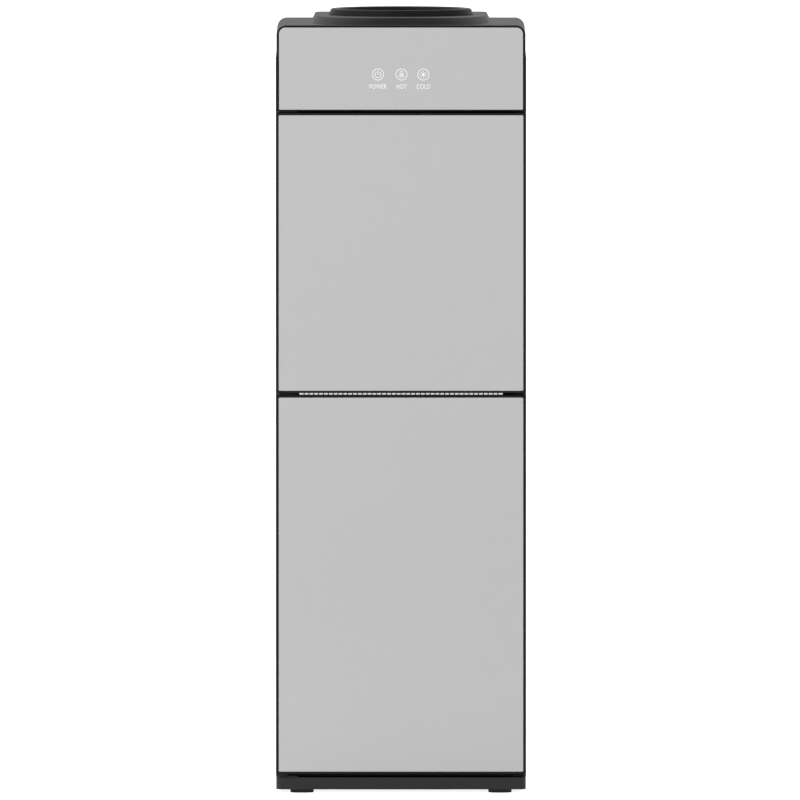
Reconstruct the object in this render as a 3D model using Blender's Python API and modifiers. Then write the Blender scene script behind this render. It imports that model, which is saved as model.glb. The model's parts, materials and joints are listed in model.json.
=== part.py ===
"""Floor-standing hot and cold bottle water dispenser with two glass-fronted doors.

Metres, +Z up, and -Y is the front. The origin is on the floor under the middle of the cabinet.
"""

import math

import bmesh
import bpy
from mathutils import Matrix, Vector

# Clearances and sizes that many pieces share
GAP = 0.0003  # between faces that touch
RUNNING = 0.0003  # round a pin that turns
OVERRUN = 0.002  # how far a cutter runs past the face that it opens
SHEET = 0.0012  # folded steel sheet
BEND = 0.002  # middle radius of a fold
MOULDED = 0.0025  # wall of a plastic moulding
ROUND_SIDES = 16
TANK_SIDES = 20
PIN_SIDES = 8
CORNER_STEPS = 3
MERGE = 0.00001

# Heights from the floor up, each measured off the front
FOOT_HEIGHT = 0.0045
PLINTH_HEIGHT = 0.0150
PLINTH_REVEAL = 0.0044
LOWER_DOOR_HEIGHT = 0.4690
DOOR_GAP = 0.0031
UPPER_DOOR_HEIGHT = 0.3466
HEAD_GAP = 0.0026
HEAD_HEIGHT = 0.1061
PLATFORM_HEIGHT = 0.0087
COLLAR_HEIGHT = 0.0075

# Plan
WIDTH = 0.310
DEPTH = 0.320
DOOR_DEPTH = 0.026
DOOR_STANDOFF = 0.0035  # from the doors' backs to the front of the body
BACK_SPACE = 0.025  # behind the body, for the condenser

HALF = WIDTH / 2
FRONT = -DEPTH / 2
BACK = DEPTH / 2
DOOR_BACK = FRONT + DOOR_DEPTH
BODY_FRONT = DOOR_BACK + DOOR_STANDOFF
BODY_BACK = BACK - BACK_SPACE
BODY_DEPTH = BODY_BACK - BODY_FRONT
PLINTH_TOP = FOOT_HEIGHT + PLINTH_HEIGHT
LOWER_BOTTOM = PLINTH_TOP + PLINTH_REVEAL
LOWER_TOP = LOWER_BOTTOM + LOWER_DOOR_HEIGHT
UPPER_BOTTOM = LOWER_TOP + DOOR_GAP
UPPER_TOP = UPPER_BOTTOM + UPPER_DOOR_HEIGHT
HEAD_BOTTOM = UPPER_TOP + HEAD_GAP
TOP = HEAD_BOTTOM + HEAD_HEIGHT
PLATFORM_TOP = TOP + PLATFORM_HEIGHT
RIM = PLATFORM_TOP + COLLAR_HEIGHT

# Plinth and feet
PLINTH_INSET = 0.0003
PLINTH_SETBACK = 0.002
PLINTH_CORNER = 0.009
PLINTH_WALL = 0.003
FOOT_SIDE = 0.0324  # from the cabinet's side to a foot's centre
FOOT_INSET = 0.022  # from the plinth's front or back edge to a foot's centre
FOOT_RADIUS = 0.0145
FOOT_EDGE = 0.0008
FOOT_SIDES = 14
FOOT_STEM_RADIUS = 0.004
FOOT_STEM_LENGTH = 0.006
FOOT_BOSS_RADIUS = 0.009
PLINTH_RIB = 0.002
PLINTH_RIB_PLACES_SHARES = (-0.4, 0.4)  # of half the plinth's width

# Side panels, rails and rear panel
SIDE_FLANGE = 0.014
SIDE_REAR_FLANGE = 0.012
COVER_SKIRT = 0.039
RAIL_HEIGHT = 0.053
RAIL_LEG = 0.015
TOP_RAIL_HEIGHT = 0.036
REAR_PANEL_BOTTOM = 0.200
REAR_LOUVRE_ROWS = 5
REAR_LOUVRE_PITCH = 0.012
REAR_LOUVRE_HEIGHT = 0.004
REAR_LOUVRE_WIDTH = 0.070
REAR_LOUVRE_SPREAD = 0.055
REAR_LOUVRE_BOTTOM = 0.235

# Doors
DOOR_EDGE = 0.003
DOOR_SIDE_BORDER = 0.003
DOOR_END_BORDER = 0.0024
DOOR_GLASS = 0.004
GLASS_CORNER = 0.0015
HINGE_STILE = 0.022
GRIP_STILE = 0.018
DOOR_RAIL = 0.018
DOOR_LEDGE = 0.005
DOOR_PANEL = 0.0022
DOOR_PANEL_FIELD = 0.0008
DOOR_PANEL_MARGIN = 0.018
GRIP_LENGTH = 0.120
GRIP_DEPTH = 0.012
GRIP_HEIGHT = 0.010
GRIP_CORNER = 0.004
MAGNET_LENGTH = 0.040
MAGNET_WIDTH = 0.008
MAGNET_DEPTH = 0.006
MAGNET_DROP = 0.030  # from the door's top to the magnet
MAGNET_EDGE = 0.003  # from the door's side to the magnet

# Hinges
HINGE_INSET = 0.010  # from the cabinet's side to the hinge axis
HINGE_BACK = 0.012  # from the doors' front to the hinge axis
HINGE_PIN = 0.003
HINGE_PIN_LENGTH = 0.011
HINGE_PLATE = 0.0016
HINGE_PLATE_HALF = 0.007
HINGE_REACH = 0.0175  # from the axis to the plate's far side
HINGE_LEG = 0.0095
HINGE_LEG_DROP = 0.014
HINGE_TAIL = 0.014
HINGE_BLOCK_HALF = 0.0048

# Niche, drip tray and grille
NICHE_DEPTH_SHARE = 0.3032  # of the body's depth
NICHE_CORNER = 0.010
WELL_DEPTH = 0.031
NICHE_HEADROOM = 0.0016  # from the upper door's top down to the liner's top
TRAY_WALL = 0.002
TRAY_RIM = 0.0009
TRAY_SIDE = 0.0005
TRAY_BASIN_SIDE = 0.0117
TRAY_CORNER = 0.006
GRILLE_HALF = 0.126
GRILLE_SHEET = 0.0012
GRILLE_LIP = 0.0070
GRILLE_LIP_FOOT = 0.0015
GRILLE_SLOT = 0.0011
GRILLE_PITCH = 0.0060
GRILLE_SLOTS = 41
GRILLE_SLOT_REAR = 0.008
GRILLE_REAR_GAP = 0.002
GRILLE_CORNER = 0.003

# Storage liner
MACHINE_BAY = 0.1125  # from the storage liner's back to the body's back
STORE_CORNER = 0.010
SHELF_HEIGHT = 0.190  # above the liner's floor
SHELF_THICKNESS = 0.003
SHELF_SETBACK = 0.012
SHELF_LIP = 0.008

# Head
COVER_INSET = 0.0009
COVER_WALL = 0.0026
COVER_CORNER = 0.010
COVER_STEPS = 5
COVER_CHAMFER = 0.0015
COVER_NOSE = 0.0006
COVER_BACK_EDGE = 0.006
FASCIA_GLASS = 0.0032
FASCIA_BOTTOM_BORDER = 0.0013
FASCIA_WALL = 0.0025
PLATFORM_HALF = 0.1052
PLATFORM_FRONT_SETBACK = 0.017  # from the cover's front
PLATFORM_REAR_SETBACK = 0.047  # from the cover's back
PLATFORM_SIDE_DRAFT = 0.0045
PLATFORM_FRONT_DRAFT = 0.011
PLATFORM_SQUARENESS = 2.7
PLATFORM_CORNER = 0.012
PLATFORM_STEPS = 22

# Bottle seat and water probe
COLLAR_RADIUS = 0.0899
COLLAR_TOP_RADIUS = 0.0876
COLLAR_LIP = 0.0026
COLLAR_INNER = 0.0763
COLLAR_BAND = 0.0045
SEAT_SPIGOT = 0.0825
SEAT_WALL = 0.0026
CONE_MOUTH_DROP = 0.010
CONE_HEIGHT = 0.030
NECK_INNER = 0.0225
NECK_LENGTH = 0.036
NECK_LEDGE = 0.0020
NECK_LEDGE_HEIGHT = 0.006
SEAT_STEPS = 32
SEAT_RIBS = 6
SEAT_RIB = 0.002
SEAT_RIB_DEPTH = 0.006
PROBE_RADIUS = 0.0075
PROBE_HEIGHT = 0.046
PROBE_TIP = 0.008
PROBE_RING = 0.0025
PROBE_RING_HEIGHT = 0.004
PROBE_SPOKE = 0.0024
PROBE_SPOKES = 3

# Tanks
TANK_WALL = 0.0012
COLD_TANK_SHARE = 0.3014  # the cold tank's radius, of the space behind the niche
COLD_TANK_HEIGHT = 0.182
COLD_LID_DROP = 0.004  # below the neck's end: the neck reaches this far into the lid
COLD_JACKET_WALL = 0.008
COIL_SPACE = 0.009
COIL_RADIUS = 0.003
COIL_TURNS = 3
COIL_STEPS = 12
COIL_TAIL = 0.008
JACKET_FLOOR = 0.008
SPIGOT = 0.005
SPIGOT_LENGTH = 0.018
FEED_X = 0.030
HOT_TANK_RADIUS = 0.042
HOT_TANK_HEIGHT = 0.088
HOT_TANK_X = -0.058
HOT_TANK_BEHIND = 0.080  # from the body's back to the hot tank's axis
HOT_TANK_EDGE = 0.006
HEATER_HEIGHT = 0.030
HEATER_THICKNESS = 0.0035
HEATER_RISE = 0.020
HOT_JACKET_WALL = 0.008
HOT_HEADROOM = 0.036  # from the hot jacket's top to the upper shelf
SHELF_TURN = 0.012

# Taps
TAP_SIDES = 12
NUT_SIDES = 6
TAP_SPREAD = 0.050
TAP_HEIGHT = 0.240  # from the grille to the barrel's axis
TAP_BARREL = 0.009
TAP_FLANGE = 0.0135
TAP_FLANGE_LENGTH = 0.004
TAP_REACH_SHARE = 0.5217  # of the niche's depth, from its back wall to the spout's axis
TAP_COLUMN = 0.0115
TAP_COLUMN_RISE = 0.013
TAP_COLUMN_FALL = 0.020
TAP_SPOUT = 0.0075
TAP_SPOUT_LENGTH = 0.016
TAP_BORE = 0.005
TAP_TAIL = 0.006
TAP_TAIL_LENGTH = 0.012
TAP_BARB = 0.0035
TAP_BARB_DROP = 0.014
TAP_NUT = 0.010
TAP_NUT_LENGTH = 0.004
EAR_THICKNESS = 0.0028
EAR_HEIGHT = 0.016
EAR_DEPTH = 0.012
LEVER_HALF = 0.0078
LEVER_HUB = 0.0055
LEVER_PIN = 0.0022
LEVER_REACH_SHARE = 0.3851  # of the niche's depth, from the spout's axis to the lever's tip
LEVER_THICKNESS = 0.0052
LEVER_TIP = 0.0030
LEVER_DROOP = 0.003
LOCK_LENGTH = 0.009
LOCK_HALF = 0.0045
LOCK_HEIGHT = 0.0028
LOCK_NOTCH = 0.0008
LOCK_PLACE_SHARE = 0.45  # along the lever

# Indicators behind the fascia
LAMP_PLACES = (-0.0285, 0, 0.0277)
LAMP_RISE = 0.0452  # above the head's bottom
LAMP_RADIUS = 0.0055
BOARD_HALF = 0.046
BOARD_HALF_HEIGHT = 0.014
BOARD_THICKNESS = 0.0016
BOARD_BEHIND = 0.006

# Cooling circuit
COMPRESSOR_X = 0.050
COMPRESSOR_ROOM = 0.01025  # before and behind the shell, within the machine bay
COMPRESSOR_HEIGHT = 0.128
COMPRESSOR_SEAM = 0.0025
SEAM_SHARE = 0.55  # of the shell's height
DOME_SHARE = 0.35  # of the shell's radius
DOME_STEPS = 4
COMPRESSOR_PLATE = 0.0022
COMPRESSOR_FOOT = 0.016  # from the shell to the end of its plate
COMPRESSOR_BOX = (0.016, 0.036, 0.040)
GROMMET_RADIUS = 0.008
GROMMET_HEIGHT = 0.011
GROMMET_INSET = 0.010
GROMMET_STUD = 0.003
LINE_RADIUS = 0.003
LINE_SIDES = 1
CONDENSER_BOTTOM = 0.245
CONDENSER_RUNS = 9
CONDENSER_PITCH = 0.063
CONDENSER_SIDE = 0.033  # from the cabinet's side to the condenser's bends
CONDENSER_TUBE = 0.0024
CONDENSER_BEND_STEPS = 4
CONDENSER_WIRES = 7
CONDENSER_WIRE = 0.0009
CONDENSER_WIRE_BITE = 0.0010
CONDENSER_SETBACK = 0.002
BRACKET_HALF = 0.006
BRACKET_INSET = 0.024  # from the condenser's bends to its brackets
DRIER_RADIUS = 0.009
DRIER_LENGTH = 0.070
DRIER_NECK = 0.0040
DRIER_SIDE = 0.025  # from the cabinet's side to the drier's axis
DRIER_BEHIND = 0.018  # from the body's back to the drier's axis
DRIER_DROP = 0.030  # from the rear panel's bottom edge to the drier's top
CAPILLARY = 0.0012
CAPILLARY_SIDES = 0
CAPILLARY_BEND_STEPS = 2
CAPILLARY_SIDE = 0.012
CAPILLARY_BEHIND = 0.008

# Hoses, drain, switches and gland
HOSE_RADIUS = 0.0045
HOSE_BEND = 0.012
DRAIN_RISE = 0.014  # from the rear panel's bottom edge to its outlets
DRAIN_SPOUT = 0.006
DRAIN_FLANGE = 0.011
DRAIN_SPOUT_LENGTH = 0.014
DRAIN_CAP_WALL = 0.0022
SWITCH_SIDE = 0.080  # from the cabinet's side to the middle of the switches
SWITCH_DROP = 0.048  # from the side panels' top to the switches' axis
SWITCH_HALF = 0.0065
SWITCH_LENGTH = 0.0095
SWITCH_CREST = 0.0036
SWITCH_VALLEY = 0.0020
SWITCH_KEEL = 0.0055
SWITCH_TILT = math.radians(9)
SWITCH_PIVOT = 0.0012
BEZEL_BORDER = 0.003
BEZEL_PROUD = 0.0022
BEZEL_DEPTH = 0.012
GLAND_SIDE = 0.043  # from the cabinet's side to the gland's axis
GLAND_RADIUS = 0.009
GLAND_LENGTH = 0.007
GLAND_BODY = 0.0065
GLAND_BORE = 0.0035

# Places worked out from the sizes
SIDE_TOP = TOP - COVER_SKIRT - GAP
FLANGE_EDGE = HALF - SIDE_FLANGE
LINER_HALF = FLANGE_EDGE - GAP
HINGE_X = -HALF + HINGE_INSET
HINGE_Y = FRONT + HINGE_BACK
MID_PLATE_BOTTOM = (LOWER_TOP + UPPER_BOTTOM - HINGE_PLATE) / 2
RAIL_FRONT = BODY_FRONT + SHEET + GAP
RAIL_TOP = MID_PLATE_BOTTOM - GAP
RAIL_BOTTOM = RAIL_TOP - RAIL_HEIGHT
NICHE_TOP = UPPER_TOP - NICHE_HEADROOM
NICHE_FLOOR = RAIL_TOP - WELL_DEPTH
NICHE_DEPTH = BODY_DEPTH * NICHE_DEPTH_SHARE
NICHE_BACK = BODY_FRONT + NICHE_DEPTH
NICHE_REAR = NICHE_BACK + MOULDED
TRAY_TOP = RAIL_TOP + GAP + TRAY_RIM
GRILLE_BOTTOM = TRAY_TOP + GAP
GRILLE_TOP = GRILLE_BOTTOM + GRILLE_SHEET
NECK_END = PLATFORM_TOP - CONE_MOUTH_DROP - CONE_HEIGHT - NECK_LENGTH
STORE_BACK = BODY_BACK - MACHINE_BAY
COMPRESSOR_Y = (STORE_BACK + BODY_BACK) / 2
COMPRESSOR_RADIUS = MACHINE_BAY / 2 - COMPRESSOR_ROOM
COMPRESSOR_PLATE_HALF = (COMPRESSOR_RADIUS + COMPRESSOR_FOOT, COMPRESSOR_RADIUS)
COLD_TANK_TOP = NECK_END + COLD_LID_DROP
COLD_TANK_BOTTOM = COLD_TANK_TOP - COLD_TANK_HEIGHT
COLD_TANK_RADIUS = (BODY_BACK - NICHE_REAR) * COLD_TANK_SHARE
COLD_JACKET_INNER = COLD_TANK_RADIUS + COIL_SPACE
COLD_JACKET_RADIUS = COLD_JACKET_INNER + COLD_JACKET_WALL
COLD_TANK_Y = NICHE_REAR + 3 * GAP + COLD_JACKET_RADIUS
COLD_JACKET_BOTTOM = COLD_TANK_BOTTOM - GAP - JACKET_FLOOR
UPPER_SHELF_TOP = COLD_JACKET_BOTTOM - GAP
HOT_TANK_Y = BODY_BACK - HOT_TANK_BEHIND
HOT_JACKET_TOP = UPPER_SHELF_TOP - SHEET - HOT_HEADROOM
HOT_TANK_TOP = HOT_JACKET_TOP - JACKET_FLOOR
HOT_TANK_BOTTOM = HOT_TANK_TOP - HOT_TANK_HEIGHT
HOT_JACKET_INNER = HOT_TANK_RADIUS + GAP + HEATER_THICKNESS + GAP
HOT_JACKET_RADIUS = HOT_JACKET_INNER + HOT_JACKET_WALL
HOT_JACKET_BOTTOM = HOT_TANK_BOTTOM - GAP - JACKET_FLOOR
LOWER_SHELF_TOP = HOT_JACKET_BOTTOM - GAP
TAP_Z = GRILLE_TOP + TAP_HEIGHT
SPOUT_Y = NICHE_BACK - GAP - NICHE_DEPTH * TAP_REACH_SHARE
LEVER_REACH = NICHE_DEPTH * LEVER_REACH_SHARE
PIVOT_Z = TAP_Z + TAP_COLUMN_RISE + LEVER_HUB + GAP
BARB_Y = NICHE_REAR + TAP_NUT_LENGTH + TAP_BARB + 2 * GAP
REAR_PANEL_FRONT = BODY_BACK + GAP
REAR_PANEL_BACK = REAR_PANEL_FRONT + SHEET
OUTLET_Z = REAR_PANEL_BOTTOM + DRAIN_RISE
SWITCH_Z = SIDE_TOP - SWITCH_DROP
SWITCH_X = HALF - SWITCH_SIDE
GLAND_X = HALF - GLAND_SIDE

GROMMET_TOP = PLINTH_TOP + GAP + GROMMET_HEIGHT
PLATE_BOTTOM = GROMMET_TOP - GAP
SHELL_BOTTOM = PLATE_BOTTOM + COMPRESSOR_PLATE / 2
SHELL_TOP = SHELL_BOTTOM + COMPRESSOR_HEIGHT
SHELL_SEAM = SHELL_BOTTOM + COMPRESSOR_HEIGHT * SEAM_SHARE
LINE_Z = SHELL_SEAM + 4 * COMPRESSOR_SEAM
SUCTION_X = COMPRESSOR_X + COMPRESSOR_RADIUS + 4 * LINE_RADIUS
CONDENSER_HALF = HALF - CONDENSER_SIDE
BRACKET_SPREAD = CONDENSER_HALF - BRACKET_INSET
TUBE_Y = BACK - CONDENSER_SETBACK - 2 * CONDENSER_WIRE - CONDENSER_TUBE + CONDENSER_WIRE_BITE
CONDENSER_TOP = CONDENSER_BOTTOM + (CONDENSER_RUNS - 1) * CONDENSER_PITCH
DRIER_X = -HALF + DRIER_SIDE
DRIER_Y = BODY_BACK - DRIER_BEHIND
DRIER_TOP = REAR_PANEL_BOTTOM - DRIER_DROP
CAPILLARY_X = -HALF + CAPILLARY_SIDE
CAPILLARY_Y = BODY_BACK - CAPILLARY_BEHIND
COIL_END_RADIUS = COLD_JACKET_RADIUS + COIL_TAIL + GAP

parts = bpy.data.collections.new("water_dispenser")
cutters = bpy.data.collections.new("cutters")


# Scene and materials


def clear_scene():
    for obj in list(bpy.data.objects):
        bpy.data.objects.remove(obj, do_unlink=True)
    bpy.context.scene.collection.children.link(parts)
    bpy.context.scene.collection.children.link(cutters)


def finish(obj, colour, roughness, metallic=0, pivot=None):
    """Gives a piece its own material and, if it moves, hangs it on its joint's empty."""
    material = bpy.data.materials.new(obj.name)
    material.use_nodes = True
    shader = material.node_tree.nodes["Principled BSDF"]
    shader.inputs["Base Color"].default_value = (*colour, 1)
    shader.inputs["Roughness"].default_value = roughness
    shader.inputs["Metallic"].default_value = metallic
    obj.data.materials.clear()
    obj.data.materials.append(material)
    if pivot:
        obj.parent = pivot
        obj.matrix_parent_inverse = pivot.matrix_basis.inverted()
    return obj


def black_plastic(obj, pivot=None):
    return finish(obj, (0.028, 0.028, 0.029), 0.42, 0, pivot)


def dark_plastic(obj, pivot=None):
    return finish(obj, (0.045, 0.045, 0.046), 0.5, 0, pivot)


def pale_plastic(obj, pivot=None):
    return finish(obj, (0.62, 0.62, 0.61), 0.45, 0, pivot)


def grey_glass(obj, pivot=None):
    return finish(obj, (0.53, 0.53, 0.53), 0.12, 0, pivot)


def painted_steel(obj):
    return finish(obj, (0.032, 0.032, 0.033), 0.5)


def bare_steel(obj, pivot=None):
    return finish(obj, (0.62, 0.62, 0.61), 0.3, 1, pivot)


def pipe_copper(obj):
    return finish(obj, (0.72, 0.36, 0.2), 0.35, 1)


def foam(obj):
    return finish(obj, (0.8, 0.8, 0.78), 0.9)


def hose_rubber(obj):
    return finish(obj, (0.7, 0.7, 0.68), 0.5)


def pivot_empty(name, place):
    empty = bpy.data.objects.new(name, None)
    empty.location = place
    parts.objects.link(empty)
    return empty


# Shapes


def add_mesh(name, bm):
    mesh = bpy.data.meshes.new(name)
    bm.to_mesh(mesh)
    bm.free()
    obj = bpy.data.objects.new(name, mesh)
    parts.objects.link(obj)
    return obj


def smooth(obj):
    obj.data.shade_smooth()
    obj.data.set_sharp_from_angle(angle=math.radians(35))
    return obj


def block(name, low, high):
    """Box between two corners."""
    bm = bmesh.new()
    sides = [b - a for a, b in zip(low, high)]
    bmesh.ops.create_cube(bm, size=1, matrix=Matrix.Diagonal((*sides, 1)))
    obj = add_mesh(name, bm)
    obj.location = [(a + b) / 2 for a, b in zip(low, high)]
    return obj


def rod(name, radius, start, end, sides=ROUND_SIDES, end_radius=None):
    """Cylinder, or cone, between two points."""
    start, end = Vector(start), Vector(end)
    bm = bmesh.new()
    bmesh.ops.create_cone(
        bm,
        cap_ends=True,
        segments=sides,
        radius1=radius,
        radius2=radius if end_radius is None else end_radius,
        depth=(end - start).length,
    )
    obj = add_mesh(name, bm)
    obj.location = (start + end) / 2
    obj.rotation_euler = (end - start).to_track_quat("Z", "Y").to_euler()
    return smooth(obj)


def turned(name, profile, x=0, y=0, steps=ROUND_SIDES, closed=False):
    """Profile of (radius, height) points turned about a vertical axis. It runs down its outer side."""
    bm = bmesh.new()
    points = [bm.verts.new((radius, 0, height)) for radius, height in profile]
    for a, b in zip(points, points[1:] + points[:1] if closed else points[1:]):
        bm.edges.new((a, b))
    obj = add_mesh(name, bm)
    obj.location = (x, y, 0)
    screw = obj.modifiers.new("turn", "SCREW")
    screw.steps = screw.render_steps = steps
    screw.use_merge_vertices = True
    screw.merge_threshold = MERGE
    screw.use_smooth_shade = True
    return obj


def as_mesh(obj):
    """The curve object made a mesh, with its caps welded on."""
    graph = bpy.context.evaluated_depsgraph_get()
    mesh = bpy.data.meshes.new_from_object(obj.evaluated_get(graph))
    bm = bmesh.new()
    bm.from_mesh(mesh)
    bmesh.ops.remove_doubles(bm, verts=bm.verts, dist=MERGE)
    bm.to_mesh(mesh)
    bm.free()
    name = obj.name
    matrix = obj.matrix_world.copy()
    bpy.data.objects.remove(obj, do_unlink=True)
    made = bpy.data.objects.new(name, mesh)
    made.matrix_world = matrix
    parts.objects.link(made)
    return made


def tube(name, points, radius, resolution=LINE_SIDES):
    """Round bar along points, as a curve."""
    curve = bpy.data.curves.new(name, "CURVE")
    curve.dimensions = "3D"
    curve.bevel_depth = radius
    curve.bevel_resolution = resolution
    curve.use_fill_caps = True
    spline = curve.splines.new("POLY")
    spline.points.add(len(points) - 1)
    for spot, point in zip(spline.points, points):
        spot.co = (*point, 1)
    spline.use_smooth = True
    obj = bpy.data.objects.new(name, curve)
    parts.objects.link(obj)
    return obj


def bent_route(points, radius, steps=CORNER_STEPS):
    """The points with each corner rounded to the radius, or as near as its legs allow."""
    points = [Vector(point) for point in points]
    route = [points[0]]
    for before, corner, after in zip(points, points[1:], points[2:]):
        back, ahead = (before - corner), (after - corner)
        turn = back.angle(ahead)
        cut_back = min(radius / math.tan(turn / 2), back.length / 2, ahead.length / 2)
        start = corner + back.normalized() * cut_back
        end = corner + ahead.normalized() * cut_back
        for step in range(steps + 1):
            t = step / steps
            route.append(start.lerp(corner, t).lerp(corner.lerp(end, t), t))
    route.append(points[-1])
    return route


def rounded_rectangle(low, high, radius, steps=CORNER_STEPS):
    """Outline with a radius at each corner, from the low one round: one number, or one a corner."""
    radii = radius if isinstance(radius, tuple) else (radius,) * 4
    corners = ((low[0], low[1]), (high[0], low[1]), (high[0], high[1]), (low[0], high[1]))
    inward = ((1, 1), (-1, 1), (-1, -1), (1, -1))
    outline = []
    for index, (corner, side, r) in enumerate(zip(corners, inward, radii)):
        if r <= 0:
            outline.append(corner)
            continue
        centre = (corner[0] + side[0] * r, corner[1] + side[1] * r)
        first = math.pi + index * math.pi / 2
        for step in range(steps + 1):
            angle = first + step / steps * math.pi / 2
            outline.append((centre[0] + r * math.cos(angle), centre[1] + r * math.sin(angle)))
    return outline


PLANES = {
    "XY": ((1, 0, 0), (0, 1, 0), (0, 0, 1)),
    "XZ": ((1, 0, 0), (0, 0, 1), (0, -1, 0)),
    "YZ": ((0, 1, 0), (0, 0, 1), (1, 0, 0)),
}


def plane_matrix(plane, offset):
    """Turns a flat drawing into its plane and moves it along the plane's normal axis."""
    across, up, out = (Vector(axis) for axis in PLANES[plane])
    turn = Matrix((across, up, out)).transposed().to_4x4()
    axis = Vector([abs(value) for value in out])
    return Matrix.Translation(axis * offset) @ turn


def extruded(name, outline, low, high, plane="XY"):
    """Flat outline made solid between two levels of the axis that its plane leaves out."""
    curve = bpy.data.curves.new(name, "CURVE")
    curve.dimensions = "2D"
    curve.fill_mode = "BOTH"
    curve.extrude = (high - low) / 2
    spline = curve.splines.new("POLY")
    spline.points.add(len(outline) - 1)
    for spot, point in zip(spline.points, outline):
        spot.co = (*point, 0, 1)
    spline.use_cyclic_u = True
    obj = bpy.data.objects.new(name, curve)
    obj.matrix_world = plane_matrix(plane, (low + high) / 2)
    parts.objects.link(obj)
    bpy.context.view_layer.update()
    return as_mesh(obj)


def folded(name, path, low, high, plane="XY"):
    """Steel sheet folded along a flat path, as an open surface that a Solidify thickens."""
    bm = bmesh.new()
    route = bent_route([(*point, low) for point in path], BEND)
    verts = [bm.verts.new(point) for point in route]
    edges = [bm.edges.new(pair) for pair in zip(verts, verts[1:])]
    grown = bmesh.ops.extrude_edge_only(bm, edges=edges)["geom"]
    moved = [item for item in grown if isinstance(item, bmesh.types.BMVert)]
    bmesh.ops.translate(bm, verts=moved, vec=(0, 0, high - low))
    turn = plane_matrix(plane, 0)
    if plane == "XZ":
        turn = turn @ Matrix.Diagonal((1, 1, -1, 1))
    bmesh.ops.transform(bm, matrix=turn, verts=bm.verts)
    obj = add_mesh(name, bm)
    wall = obj.modifiers.new("sheet", "SOLIDIFY")
    wall.thickness = SHEET
    wall.offset = 0
    wall.use_even_offset = True
    return obj


def lofted(name, rings):
    """Solid through rings of as many points each, with flat ends."""
    bm = bmesh.new()
    levels = [[bm.verts.new(point) for point in ring] for ring in rings]
    count = len(rings[0])
    for lower, upper in zip(levels, levels[1:]):
        for i in range(count):
            j = (i + 1) % count
            bm.faces.new((lower[i], lower[j], upper[j], upper[i]))
    bm.faces.new(levels[0][::-1])
    bm.faces.new(levels[-1])
    bmesh.ops.recalc_face_normals(bm, faces=bm.faces)
    return add_mesh(name, bm)


# Operations


def tool(obj):
    """Makes the object a hidden helper."""
    parts.objects.unlink(obj)
    cutters.objects.link(obj)
    obj.hide_render = True
    obj.display_type = "WIRE"
    return obj


def combine(obj, others, operation):
    for other in others:
        change = obj.modifiers.new(other.name, "BOOLEAN")
        change.operation = operation
        change.solver = "EXACT"
        change.object = tool(other)
    return obj


def cut(obj, *others):
    return combine(obj, others, "DIFFERENCE")


def join(obj, *others):
    return combine(obj, others, "UNION")


def repeated(obj, count, step):
    """A row of copies along X, for a cutter."""
    row = obj.modifiers.new("row", "ARRAY")
    row.count = count
    row.use_relative_offset = False
    row.use_constant_offset = True
    row.constant_offset_displace = (step, 0, 0)
    return obj


# Plinth, feet and steel body

FOOT_FRONT = FRONT + PLINTH_SETBACK + FOOT_INSET
FOOT_REAR = BODY_BACK - FOOT_INSET
FOOT_SPREAD = HALF - FOOT_SIDE
FOOT_PLACES = {
    "foot_front_left": (-FOOT_SPREAD, FOOT_FRONT),
    "foot_front_right": (FOOT_SPREAD, FOOT_FRONT),
    "foot_rear_left": (-FOOT_SPREAD, FOOT_REAR),
    "foot_rear_right": (FOOT_SPREAD, FOOT_REAR),
}
FOOT_STEM_TOP = FOOT_HEIGHT + FOOT_STEM_LENGTH
PLINTH_HALF = HALF - PLINTH_INSET
PLINTH_FRONT = FRONT + PLINTH_SETBACK
STUD_X = COMPRESSOR_PLATE_HALF[0] - GROMMET_INSET
STUD_Y = COMPRESSOR_PLATE_HALF[1] - GROMMET_INSET
STUD_PLACES = [
    (COMPRESSOR_X + x * STUD_X, COMPRESSOR_Y + y * STUD_Y) for x in (-1, 1) for y in (-1, 1)
]


def base_tray():
    deck = PLINTH_TOP - PLINTH_WALL
    outer = rounded_rectangle((-PLINTH_HALF, PLINTH_FRONT), (PLINTH_HALF, BODY_BACK), PLINTH_CORNER)
    inner = rounded_rectangle(
        (-PLINTH_HALF + PLINTH_WALL, PLINTH_FRONT + PLINTH_WALL),
        (PLINTH_HALF - PLINTH_WALL, BODY_BACK - PLINTH_WALL),
        max(PLINTH_CORNER - PLINTH_WALL, GAP),
    )
    tray = extruded("base_tray", outer, FOOT_HEIGHT, PLINTH_TOP)
    cut(tray, extruded("base_hollow", inner, FOOT_HEIGHT - OVERRUN, deck))
    for share in PLINTH_RIB_PLACES_SHARES:
        x = share * PLINTH_HALF
        low = (x - PLINTH_RIB / 2, PLINTH_FRONT + PLINTH_WALL / 2, FOOT_HEIGHT + GAP)
        high = (x + PLINTH_RIB / 2, BODY_BACK - PLINTH_WALL / 2, deck + PLINTH_WALL / 2)
        join(tray, block("base_rib", low, high))
    for x, y in FOOT_PLACES.values():
        boss = ((x, y, FOOT_HEIGHT), (x, y, deck + PLINTH_WALL / 2))
        join(tray, rod("foot_boss", FOOT_BOSS_RADIUS, *boss, FOOT_SIDES))
        hole = ((x, y, FOOT_HEIGHT - OVERRUN), (x, y, FOOT_STEM_TOP + GAP))
        cut(tray, rod("foot_hole", FOOT_STEM_RADIUS + GAP, *hole, FOOT_SIDES))
    for x, y in STUD_PLACES:
        top = PLINTH_TOP + GROMMET_HEIGHT * 2 / 3
        join(tray, rod("stud", GROMMET_STUD, (x, y, deck + PLINTH_WALL / 2), (x, y, top), PIN_SIDES))
    painted_steel(tray)


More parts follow.
